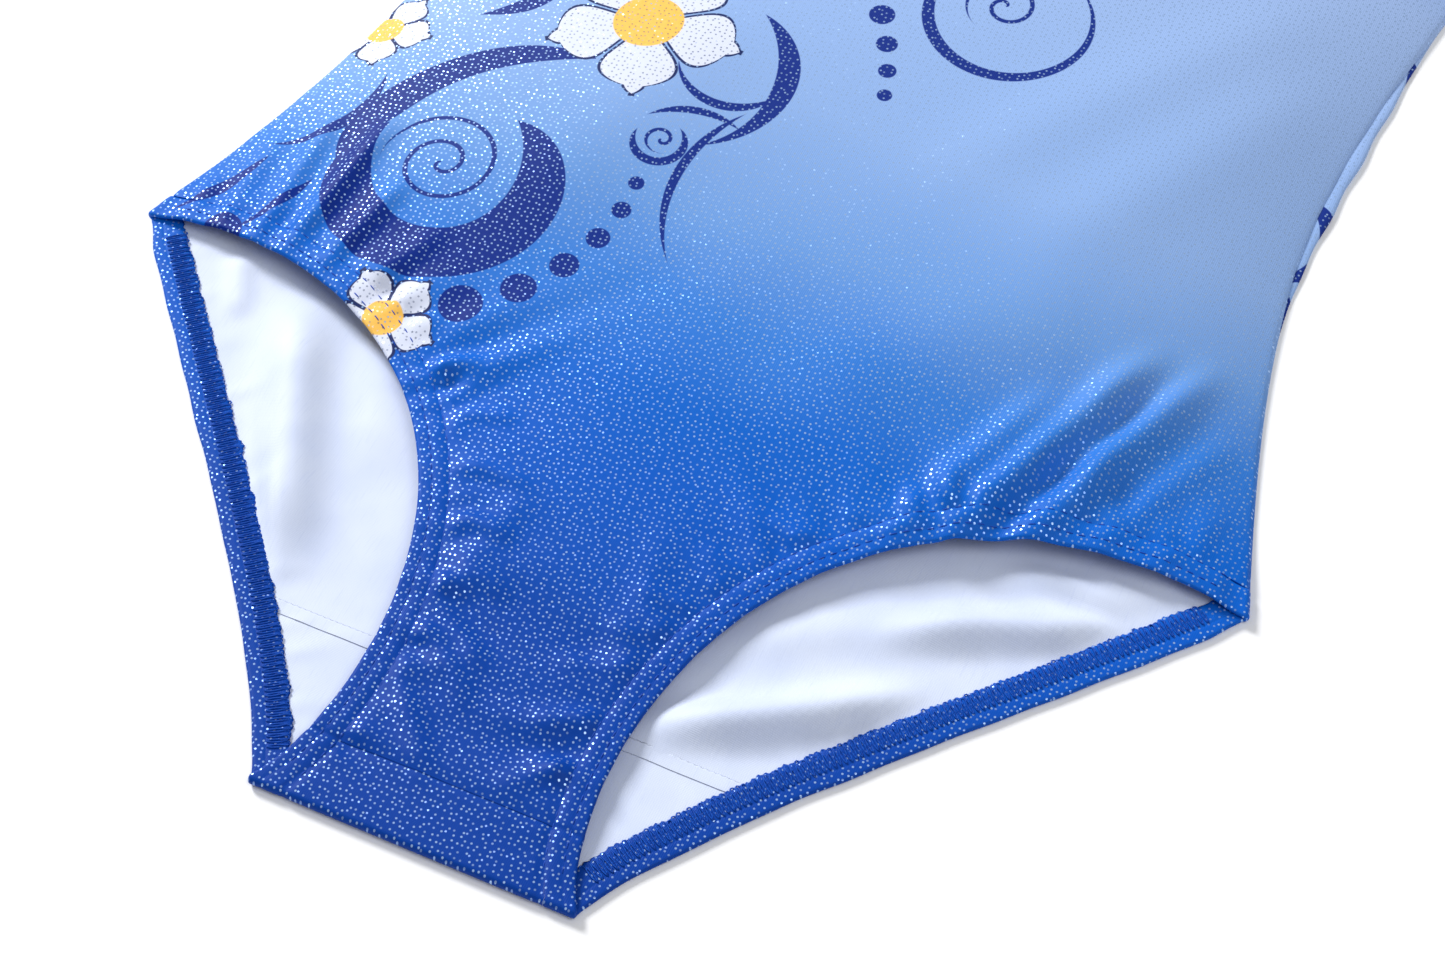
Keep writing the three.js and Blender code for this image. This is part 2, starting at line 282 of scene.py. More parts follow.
@dataclass
class Drape:
    """How the cloth lies: the height of the front's outside and of the back's inside."""

    cut: Cut
    rise: float
    cloth: float = 0.5
    hem: float = 7.8
    stack: float = 2.7
    groove: float = 0.4
    groove_width: float = 0.8
    hem_seam: float = 7.1
    leg_gather: float = 1.4
    other_gather: float = 0.3
    front_folds: list[Fold] = field(default_factory=list)
    back_folds: list[Fold] = field(default_factory=list)

    def __post_init__(self) -> None:
        """Measures the edges, and lays out the folds."""
        cut = self.cut
        self.legs = [EdgeField(cut.front_leg()), EdgeField(mirror(cut.front_leg()))]
        self.back_legs = [EdgeField(cut.back_leg()), EdgeField(mirror(cut.back_leg()))]
        self.others = [
            EdgeField(cut.neck(cut.front_neck_depth)),
            EdgeField(cut.armhole()),
            EdgeField(mirror(cut.armhole())),
        ]
        seams = (cut.side(), cut.shoulder())
        self.closed = [EdgeField(side) for line in seams for side in (line, mirror(line))]
        self.front_folds += self.fan(self.legs[1].edge, (106, 42), (24, -46), (15, 32), (0.85, 1.1), 8)
        self.front_folds += self.fan(self.legs[0].edge, (98, 40), (158, 218), (12, 20), (0.5, 0.8), 7)
        # Folds that climb from the right hip corner, and from the arch of the left leg.
        self.front_folds += [
            Fold((-129, 129), (-131, 152), 0.9, 2.2),
            Fold((-120, 125), (-123, 166), 1.7, 2.7),
            Fold((-110, 124), (-112, 176), 2.1, 2.8),
            Fold((-101, 124), (-97, 178), 2.3, 3.0),
            Fold((-90.5, 124), (-84, 160), 1.7, 2.8),
            Fold((-79, 122), (-68, 148), 0.9, 3.0),
            Fold((58, 104), (82, 166), 2.2, 4.2),
            Fold((70, 110), (100, 188), 3.7, 4.3),
            Fold((86, 116), (114, 192), 3.9, 4.3),
            Fold((77.5, 112), (106, 186), -1.6, 3.0),
            Fold((101, 122), (124, 176), 1.5, 3.6),
            Fold((116, 126), (128, 154), 1.2, 3.4),
            Fold((20, 130), (88, 200), 1.2, 16.0),
            Fold((-20, 90), (10, 190), 0.7, 18.0),
            Fold((60, 190), (112, 290), 1.3, 12.0),
            Fold((25, 200), (108, 318), 1.0, 11.0),
            Fold((-60, 150), (-30, 250), 0.8, 15.0),
            Fold((-112, 215), (-60, 300), 1.2, 10.0),
            Fold((-100, 250), (-20, 400), 0.9, 13.0),
            Fold((-118, 330), (-60, 400), 1.4, 9.0),
            Fold((118, 330), (50, 405), 1.4, 9.0),
            Fold((-25, 40), (-16, 96), 0.6, 4.0),
            Fold((24, 44), (14, 100), 0.5, 4.5),
        ]
        self.back_folds += [
            Fold((-95, 124), (-57, 46), 5.2, 7.0, 0.3),
            Fold((-72, 122), (-50, 80), 1.2, 8.0, 0.4),
            Fold((-114, 128), (-104, 108), 1.5, 3.0),
            Fold((-56, 42), (-75, 74), 1.9, 2.1, 0.35),
            Fold((25, 44), (88, 82), 5.0, 5.0, 0.35, -1.5),
            Fold((64, 87), (121, 112), 4.8, 4.6, 0.35, 3.0),
            Fold((34, 70), (78, 98), 1.4, 6.0, 0.35, 1.0),
            Fold((84, 117), (120, 118), 2.0, 3.2, 0.35, 2.0),
            Fold((102, 109), (127, 116), 1.5, 1.9, 0.4),
            Fold((100, 126), (124, 121), 1.2, 2.4, 0.4),
            Fold((-40, 470), (42, 452), 1.2, 7.0),
        ]

    def fan(
        self,
        edge: Array,
        heights: tuple[float, float],
        bearings: tuple[float, float],
        lengths: tuple[float, float],
        rises: tuple[float, float],
        count: int,
    ) -> list[Fold]:
        """Ridges that spread from a leg hem like a fan.

        Their starts step evenly down the edge, 8.6 mm in from it, while bearing, length and rise go evenly
        from the first value of each pair to the second, with a small seeded unevenness.

        Args:
            edge: the leg's edge.
            heights: how far up the first and the last ridge start.
            bearings: their directions, in degrees from the wearer's left.
            lengths: their lengths.
            rises: their heights.
            count: how many ridges.

        Returns:
            The ridges.
        """
        draw = np.random.default_rng(SEED + count)
        share = np.linspace(0, 1, count)
        uneven = draw.uniform(-1, 1, (3, count))
        level, bearing, length, rise = (a + (b - a) * share for a, b in (heights, bearings, lengths, rises))
        level = level + 1.6 * uneven[0]
        angle = np.radians(bearing + 4 * uneven[1])
        length = length * (1 + 0.2 * uneven[2])
        order = np.argsort(edge[:, 1])
        x = np.interp(level, edge[order, 1], edge[order, 0])
        towards = np.stack([np.cos(angle), np.sin(angle)], 1)
        start = np.stack([x, level], 1) + towards * 8.2
        end = start + towards * length[:, None]
        width = 1.7 + 0.9 * share
        rows = zip(start.tolist(), end.tolist(), rise.tolist(), width.tolist())
        return [Fold(tuple(a), tuple(b), high, wide, 0.3, 1.2) for a, b, high, wide in rows]

    def side_level(self, x: Array, y: Array) -> Array:
        """Height of the front's outside along the side seam, raised where the hems lie on each other."""
        cut = self.cut
        near = [
            np.exp(-(((y - cut.hip_height - 3) / 13) ** 2)),
            np.exp(-(((y - cut.armpit_height + 3) / 13) ** 2)),
            1 - smooth(y, 10, 60),
            smooth(y, cut.length - 50, cut.length - 10),
        ]
        return 1.25 + (self.stack - 1.25) * np.clip(sum(near), 0, 1)

    def arch(self, x: Array, y: Array) -> Array:
        """The front's height without folds: a flat-topped arch along the body and across it."""
        cut = self.cut
        along = np.clip(y / cut.shoulder_line(x), 0, 1)
        across = np.clip(np.abs(x) / cut.half_width(y), 0, 1.04)
        base = self.side_level(x, y)
        crown = (self.rise + self.stack - base) * (0.5 + 0.5 * smooth(y, 70, 235))
        return base + crown * (1 - np.abs(2 * along - 1) ** 3.2) * (1 - across**4)

    def gathers(self, fields: Sequence[EdgeField], x: Array, y: Array, height: float, seed: int) -> Array:
        """Small puckers that stand square to an elastic hem and die out away from it."""
        total = np.zeros(np.shape(x))
        for place, edge in enumerate(fields):
            off, run = edge.at(x, y)
            past = np.maximum(off - self.hem, 0)
            inside = 0.14 + 0.86 * smooth(off, self.hem - 1.5, self.hem + 2.5)
            reach = 15 + 8 * ripple(run, 60, 25, seed + 50 + place, 4)
            fade = np.exp(-((past / np.maximum(reach, 4)) ** 1.3)) * inside
            swell = 0.75 + 0.5 * ripple(run, 90, 30, seed + 80 + place, 4)
            wide = smooth(past, 0, 14)
            close, loose = ripple(run, 17, 6.5, seed + place), ripple(run, 28, 11, seed + 20 + place)
            wave = close * (1 - wide) + loose * wide
            total += height * fade * np.maximum(swell, 0.2) * wave
        return total

    def closing(self, x: Array, y: Array) -> Array:
        """How far the front has turned down to the back along the side and shoulder seams.

        The turn is a quarter ellipse 1.2 mm wide.
        """
        off = np.min([edge.at(x, y)[0] for edge in self.closed], axis=0)
        return np.sqrt(np.clip(1 - np.clip(1 - off / 1.2, 0, 1) ** 2, 0, 1))

    def sheet_top(self, x: Array, y: Array) -> Array:
        """Height of the front's outside, turned down where it meets the back."""
        return 0.1 + (self.top(x, y) - 0.1) * self.closing(x, y)

    def top(self, x: Array, y: Array) -> Array:
        """Height of the front's outside, as if it ended at the seams without turning down."""
        cut = self.cut
        across = np.clip(np.abs(x) / cut.half_width(y), 0, 1.04)
        along = np.clip(y / cut.shoulder_line(x), 0, 1)
        calm = (1 - across**8) * smooth(along, 0.0, 0.06) * (1 - smooth(along, 0.96, 1.0))
        folds = sum(fold.at(x, y) for fold in self.front_folds)
        folds = folds + self.gathers(self.legs, x, y, self.leg_gather, SEED)
        folds = folds + self.gathers(self.others, x, y, self.other_gather, SEED + 200)
        drift = 0.5 * np.sin(x / 31 + 1.3) * np.sin(y / 47 + 0.4) + 0.3 * np.sin(x / 17 - y / 23)
        hem_off = np.min([edge.at(x, y)[0] for edge in [*self.legs, *self.others]], axis=0)
        gaps = (y - cut.front_crotch_seam, hem_off - self.hem_seam)
        grooves = sum(np.exp(-((gap / self.groove_width) ** 2)) for gap in gaps)
        return self.arch(x, y) + calm * (folds + drift) - self.groove * grooves

    def table_side(self, x: Array, y: Array) -> Array:
        """Height of the back's inside: on the table, with a few soft swells."""
        across = np.clip(np.abs(x) / self.cut.half_width(y), 0, 1)
        off = np.min([edge.at(x, y)[0] for edge in self.back_legs], axis=0)
        folds = sum(fold.at(x, y) for fold in self.back_folds) * smooth(off, 6, 15)
        puckers = np.maximum(self.gathers(self.back_legs, x, y, 0.5, SEED + 400), 0) * smooth(off, 6, 8.5)
        swell = 0.3 * (1 + np.sin(x / 13 + y / 29)) * (1 - across**3) * smooth(off, 8, 20)
        return self.cloth + 0.08 + (folds + swell + puckers) * (1 - across**10)


# ---------------------------------------------------------------- meshes


def write_mesh(name: str, points: Array, faces: Array | list, low_y: float) -> bpy.types.Object:
    """A smooth-shaded mesh object at the origin.

    Args:
        name: the piece's name.
        points: vertices in millimetres, with Y counted from the crotch fold.
        faces: corner numbers, one row a face.
        low_y: the crotch fold's place in the row frame, in millimetres.

    Returns:
        The new object, linked to the scene.
    """
    placed = (np.asarray(points, float) + np.array([0, low_y, 0])) * MM
    mesh = bpy.data.meshes.new(name)
    rows = faces.tolist() if isinstance(faces, np.ndarray) else faces
    mesh.from_pydata(placed.tolist(), [], rows)
    mesh.validate()
    mesh.polygons.foreach_set("use_smooth", np.ones(len(mesh.polygons), bool))
    mesh.update()
    piece = bpy.data.objects.new(name, mesh)
    bpy.context.scene.collection.objects.link(piece)
    return piece


def column_points(x: Array, y: Array, z: Array) -> Array:
    """A grid's places as rows of three numbers."""
    return np.stack([x.ravel(), y.ravel(), z.ravel()], 1)


def grid_faces(rows: int, columns: int, wrap_rows: bool = False, wrap_columns: bool = False) -> Array:
    """Quads over a grid of rows by columns of vertices, closed on itself where asked."""
    row = np.arange(rows if wrap_rows else rows - 1)
    column = np.arange(columns if wrap_columns else columns - 1)
    r, c = np.meshgrid(row, column, indexing="ij")
    r2, c2 = (r + 1) % rows, (c + 1) % columns
    corners = [r * columns + c, r * columns + c2, r2 * columns + c2, r2 * columns + c]
    return np.stack([corner.ravel() for corner in corners], 1)


def inside(points: Array, loop: Array) -> Array:
    """Which points lie inside a closed outline, by counting the sides that a ray crosses."""
    a, b = loop, np.roll(loop, -1, axis=0)
    rise = b[:, 1] - a[:, 1]
    slope = (b[:, 0] - a[:, 0]) / np.where(rise == 0, 1, rise)
    hits = []
    for first in range(0, len(points), 8000):
        x, y = points[first : first + 8000].T[:, :, None]
        crosses = (a[None, :, 1] > y) != (b[None, :, 1] > y)
        left = x < a[None, :, 0] + slope * (y - a[None, :, 1])
        hits.append((crosses & left).sum(1) % 2 == 1)
    return np.concatenate(hits)


def panel_mesh(
    loop: Array,
    fine: float,
    coarse: float,
    split: float,
    extra: Array | None,
) -> tuple[Array, Array]:
    """Triangles that fill an outline, finer below a height.

    The points are a staggered lattice inside the outline, joined by Delaunay's rule.

    Args:
        loop: the outline's points.
        fine: spacing below the split.
        coarse: spacing above it.
        split: the height where the spacing changes.
        extra: more points to take in, or None.

    Returns:
        The points in the plan, and the triangles.
    """
    low, high = loop.min(0), loop.max(0)
    bands = [(low[1], split, fine), (split, high[1], coarse)]
    lattice = []
    for start, end, step in bands:
        rows = np.arange(start + step / 2, end, step * 0.866)
        columns = np.arange(low[0], high[0], step)
        grid_x, grid_y = np.meshgrid(columns, rows)
        grid_x = grid_x + (np.arange(len(rows)) % 2)[:, None] * step / 2
        lattice.append(np.stack([grid_x.ravel(), grid_y.ravel()], 1))
    places = np.vstack(lattice)
    places = places[inside(places, loop)]
    rim = EdgeField(np.vstack([loop, loop[:1]]))
    off, _ = rim.at(places[:, 0], places[:, 1])
    places = places[off > np.where(places[:, 1] < split, fine, coarse) * 0.6]
    if extra is not None:
        kept = extra[inside(extra, loop)]
        apart, _ = rim.at(places[:, 0], places[:, 1])
        places = np.vstack([places[apart > RING_CLEARANCE], kept])
    count = len(loop)
    every = np.vstack([loop, places])
    sides = [(number, (number + 1) % count) for number in range(count)]
    made = delaunay_2d_cdt([Vector(p) for p in every.tolist()], sides, [list(range(count))], 1, 1e-5)
    return np.array([tuple(p) for p in made[0]]), np.array(made[2])


def solidify(piece: bpy.types.Object, thickness: float, inner_slot: int, rim_slot: int = 0) -> None:
    """Gives a sheet its thickness, on the side that its faces turn away from."""
    wall = piece.modifiers.new("cloth", "SOLIDIFY")
    wall.thickness = thickness * MM
    wall.offset = -1
    wall.material_offset = inner_slot
    wall.material_offset_rim = rim_slot
    wall.use_even_offset = False


def settle(piece: bpy.types.Object, turn: float = 70.0) -> None:
    """Makes a sheet's thickness part of its mesh, with sharp edges where faces meet at over the turn."""
    graph = bpy.context.evaluated_depsgraph_get()
    mesh = bpy.data.meshes.new_from_object(piece.evaluated_get(graph))
    piece.modifiers.clear()
    thin_sheet = piece.data
    piece.data = mesh
    bpy.data.meshes.remove(thin_sheet)
    mesh.name = piece.name
    mesh.set_sharp_from_angle(angle=math.radians(turn))


def flat_area(loop: Array) -> float:
    """An outline's area in square metres, by the shoelace rule."""
    x, y = loop[:, 0], loop[:, 1]
    return abs(float(x @ np.roll(y, -1) - y @ np.roll(x, -1))) / 2 * MM * MM


# ---------------------------------------------------------------- shader nodes


class Num:
    """A number socket that Python's operators work on; each adds a Math node."""

    def __init__(self, net: "Net", socket: bpy.types.NodeSocket) -> None:
        """Wraps one output socket."""
        self.net = net
        self.socket = socket

    def __add__(self, other: "Num | float") -> "Num":
        """Sum."""
        return self.net.math("ADD", self, other)

    __radd__ = __add__

    def __mul__(self, other: "Num | float") -> "Num":
        """Product."""
        return self.net.math("MULTIPLY", self, other)

    __rmul__ = __mul__

    def __sub__(self, other: "Num | float") -> "Num":
        """Difference."""
        return self.net.math("SUBTRACT", self, other)

    def __rsub__(self, other: "Num | float") -> "Num":
        """Difference, from a number."""
        return self.net.math("SUBTRACT", other, self)

    def __truediv__(self, other: "Num | float") -> "Num":
        """Quotient."""
        return self.net.math("DIVIDE", self, other)

    def __pow__(self, power: float) -> "Num":
        """Power."""
        return self.net.math("POWER", self, power)

    def __abs__(self) -> "Num":
        """Absolute value."""
        return self.net.math("ABSOLUTE", self)

    def frac(self) -> "Num":
        """The part after the point."""
        return self.net.math("FRACT", self)

    def sin(self) -> "Num":
        """Sine."""
        return self.net.math("SINE", self)

    def low(self, other: "Num | float") -> "Num":
        """The smaller of two."""
        return self.net.math("MINIMUM", self, other)

    def high(self, other: "Num | float") -> "Num":
        """The larger of two."""
        return self.net.math("MAXIMUM", self, other)

    def step(self, start: float, end: float) -> "Num":
        """A smooth step, 0 at start and 1 at end, which may lie below start."""
        low, high = min(start, end), max(start, end)
        ends = {"From Min": low, "From Max": high, "To Min": float(start > end), "To Max": float(end > start)}
        settings = {"interpolation_type": "SMOOTHSTEP"}
        node = self.net.add("ShaderNodeMapRange", settings, {"Value": self, **ends})
        return Num(self.net, node.outputs[0])


class Net:
    """The nodes of one material."""

    def __init__(self, name: str) -> None:
        """Makes the material, with a Principled shader."""
        self.material = bpy.data.materials.new(name)
        self.material.use_nodes = True
        self.tree = self.material.node_tree
        self.shader = self.tree.nodes["Principled BSDF"]

    def add(self, kind: str, settings: dict | None = None, inputs: dict | None = None) -> bpy.types.Node:
        """Adds a node.

        Args:
            kind: the node's type.
            settings: its properties, which are set first.
            inputs: values or links, by the socket's name or number.

        Returns:
            The new node.
        """
        node = self.tree.nodes.new(kind)
        for key, value in (settings or {}).items():
            setattr(node, key, value)
        for key, value in (inputs or {}).items():
            self.feed(node.inputs[key], value)
        return node

    def feed(self, socket: bpy.types.NodeSocket, value: object) -> None:
        """Links a socket, or sets its value."""
        if isinstance(value, Num):
            value = value.socket
        if isinstance(value, bpy.types.NodeSocket):
            self.tree.links.new(value, socket)
        else:
            socket.default_value = value

    def finish(self, **inputs: object) -> bpy.types.Material:
        """Sets the shader's own sockets, with _ for a space in a name, and gives the material."""
        for key, value in inputs.items():
            self.feed(self.shader.inputs[key.replace("_", " ")], value)
        return self.material

    def math(self, operation: str, *values: "Num | float") -> Num:
        """One Math node."""
        node = self.add("ShaderNodeMath", {"operation": operation}, dict(enumerate(values)))
        return Num(self, node.outputs[0])

    def vector(self, operation: str, *values: object) -> bpy.types.NodeSocket:
        """One Vector Math node's vector."""
        inputs = dict(enumerate(value for value in values if not isinstance(value, float)))
        scale = {"Scale": value for value in values if isinstance(value, float)}
        return self.add("ShaderNodeVectorMath", {"operation": operation}, {**inputs, **scale}).outputs[0]

    def apart(self, place: bpy.types.NodeSocket, other: Sequence[float]) -> Num:
        """Distance from a point."""
        node = self.add("ShaderNodeVectorMath", {"operation": "DISTANCE"}, {0: place, 1: tuple(other)})
        return Num(self, node.outputs["Value"])

    def parts(self, vector: bpy.types.NodeSocket) -> tuple[Num, Num, Num]:
        """A vector's three numbers."""
        node = self.add("ShaderNodeSeparateXYZ", None, {0: vector})
        return Num(self, node.outputs[0]), Num(self, node.outputs[1]), Num(self, node.outputs[2])

    def join(self, x: Num | float, y: Num | float, z: Num | float) -> bpy.types.NodeSocket:
        """A vector of three numbers."""
        return self.add("ShaderNodeCombineXYZ", None, {0: x, 1: y, 2: z}).outputs[0]

    def noise(self, place: object, scale: float, detail: float = 2) -> Num:
        """Cloudy noise between 0 and 1."""
        inputs = {"Vector": place, "Scale": scale, "Detail": detail}
        return Num(self, self.add("ShaderNodeTexNoise", None, inputs).outputs[0])

    def mix(self, share: Num | float, a: object, b: object, kind: str = "RGBA") -> bpy.types.NodeSocket:
        """Colour or vector a, turning to b as the share goes from 0 to 1."""
        node = self.add("ShaderNodeMix", {"data_type": kind})
        sockets = [socket for socket in node.inputs if socket.enabled]
        for socket, value in zip(sockets, (share, a, b)):
            self.feed(socket, value)
        return next(socket for socket in node.outputs if socket.enabled)

    def bump(self, height: Num, distance: float, strength: float) -> bpy.types.NodeSocket:
        """A bump of a height in units of a distance in millimetres."""
        inputs = {"Height": height, "Distance": distance * MM, "Strength": strength}
        return self.add("ShaderNodeBump", None, inputs).outputs[0]

    def object_place(self) -> bpy.types.NodeSocket:
        """Object coordinates, in metres."""
        return self.add("ShaderNodeTexCoord").outputs["Object"]

    def place_mm(self) -> tuple[Num, Num, Num]:
        """Object coordinates, in millimetres, as three numbers."""
        return self.parts(self.vector("SCALE", self.object_place(), 1 / MM))


def ink(red: int, green: int, blue: int) -> Colour:
    """A screen colour from 0 to 255, as the linear colour that a shader takes."""
    shares = np.array([red, green, blue]) / 255
    linear = np.where(shares <= 0.04045, shares / 12.92, ((shares + 0.055) / 1.055) ** 2.4)
    return (*linear.tolist(), 1.0)


class Side(Enum):
    """Which panel a print is for."""

    FRONT = 1
    BACK = -1


@dataclass(frozen=True)
class Stroke:
    """A drawn arc with pointed ends: part of a circle, widest in its middle."""

    centre: tuple[float, float]
    radius: float
    middle: float
    sweep: float
    half_width: float
    lean: float = 0.0
    power: float = 2.0


@dataclass(frozen=True)
class Flower:
    """A flower of separate petals round a plain eye."""

    centre: tuple[float, float]
    radius: float
    turn: float
    petals: int = 5
    eye: float = 0.39
    tip: float = 1.12


@dataclass(frozen=True)
class Curl:
    """A thin line that winds out from its middle by the same step each turn."""

    centre: tuple[float, float]
    step: float
    reach: float
    turn: float
    half_width: float
    hand: int = 1


@dataclass(frozen=True)
class DotRun:
    """Dots along an arc, each smaller and closer than the one before by the same ratio."""

    centre: tuple[float, float]
    radius: float
    start: float
    step: float
    first: float
    ratio: float
    count: int

    def dots(self) -> list[tuple[float, float, float]]:
        """Each dot's place and radius."""
        found = []
        angle = math.radians(self.start)
        for number in range(self.count):
            x = self.centre[0] + self.radius * math.cos(angle)
            y = self.centre[1] + self.radius * math.sin(angle)
            found.append((x, y, self.first * self.ratio**number))
            angle += math.radians(self.step) * self.ratio ** (number * 0.62)
        return found


FRONT_FLOWERS = (
    Flower((-52.6, 225.9), 22.5, 190),
    Flower((-116.5, 204.8), 12, 200),
    Flower((-70.2, 119), 12.2, 216),
    Flower((42, 372), 20, 22),
    Flower((84, 334), 11, 5),
    Flower((-84, 415), 12, 30),
    Flower((-8, 404), 9, 12),
)
FRONT_STROKES = (
    Stroke((-76.5, 162), 23.6, -70, 276, 7.4, 0.0, 3.6),
    Stroke((-55, 160), 49.5, 138, 88, 4.3, 0.4, 4.0),
    Stroke((28.4, 265), 20.5, -80, 280, 1.5, -0.5, 3.0),
    Stroke((-39, 216.2), 26.5, 3, 120, 2.8, 0.45, 1.8),
    Stroke((14.6, 184.8), 39.7, 182, 74, 1.2, -0.3, 2.0),
    Stroke((-26.4, 222.2), 14.6, -92, 130, 1.3, 0.3, 2.0),
    Stroke((-24.6, 184.8), 19.3, 103, 72, 1.1, 0.0, 2.0),
    Stroke((-33.4, 191.4), 6.3, -65, 250, 1.2, 0.0, 3.0),
    Stroke((-131.5, 182), 25.4, -27, 86, 1.8, 0.1, 1.8),
    Stroke((-176.5, 170.5), 58, -30, 27, 1.8, 0.1, 1.8),
    Stroke((-165, 164), 60, -24, 22, 1.4, 0.1, 1.8),
    Stroke((-107, 246), 34, -49, 38, 2.3, 0.4, 1.8),
    Stroke((16, 340), 30, 200, 190, 6.0, 0.25, 3.0),
    Stroke((30, 344), 15, 20, 240, 1.6, 0.3, 2.4),
    Stroke((70, 372), 34, 118, 120, 2.2, 0.2, 2.0),
    Stroke((-74, 372), 26, 96, 230, 4.2, -0.25, 3.0),
    Stroke((-38, 398), 22, 250, 140, 1.5, 0.3, 2.0),
    Stroke((86, 440), 24, 60, 190, 2.4, 0.3, 2.0),
)
FRONT_CURLS = (
    Curl((-79, 165.5), 7.8, 15.6, 20, 0.62),
    Curl((-32.9, 192), 3.6, 4.2, 0, 0.5),
    Curl((26.1, 267.4), 6.6, 10.0, 160, 0.6),
    Curl((-74, 372), 6.0, 14.0, 90, 0.6, -1),
)
FRONT_DOTS = (
    DotRun((-84.5, 172.2), 52, -55.5, 15.5, 5.3, 0.82, 6),
    DotRun((-74.5, 204), 88, 15.5, 5.2, 1.9, 1.2, 5),
    DotRun((-119, 128), 0.01, 0, 0, 5.0, 1, 1),
    DotRun((10, 345), 56, 60, 15, 4.6, 0.82, 6),
)
BACK_FLOWERS = (Flower((66, 214), 17, 12), Flower((-80, 300), 20, 30), Flower((30, 380), 12, 5))
BACK_STROKES = (
    Stroke((92, 200), 27, 15, 240, 5.5, 0.25, 4.0),
    Stroke((80, 250), 33, 30, 130, 2.4, 0.2, 2.0),
    Stroke((-60, 270), 26, 200, 250, 5.0, 0.25, 3.5),
    Stroke((-30, 330), 34, 120, 150, 2.2, 0.2, 2.0),
    Stroke((20, 410), 30, 80, 200, 3.0, 0.3, 2.0),
    Stroke((108, 236), 14.6, 0, 150, 2.8, 0.2, 2.0),
    Stroke((96, 288), 31, 5, 60, 3.0, 0.2, 2.0),
)
BACK_CURLS = (Curl((92, 200), 6.3, 15, 60, 0.6), Curl((-60, 270), 6.0, 15, 10, 0.6))
BACK_DOTS = (DotRun((84, 196), 46, 140, 16, 4.8, 0.82, 6), DotRun((-58, 272), 48, -40, 15, 4.8, 0.82, 6))


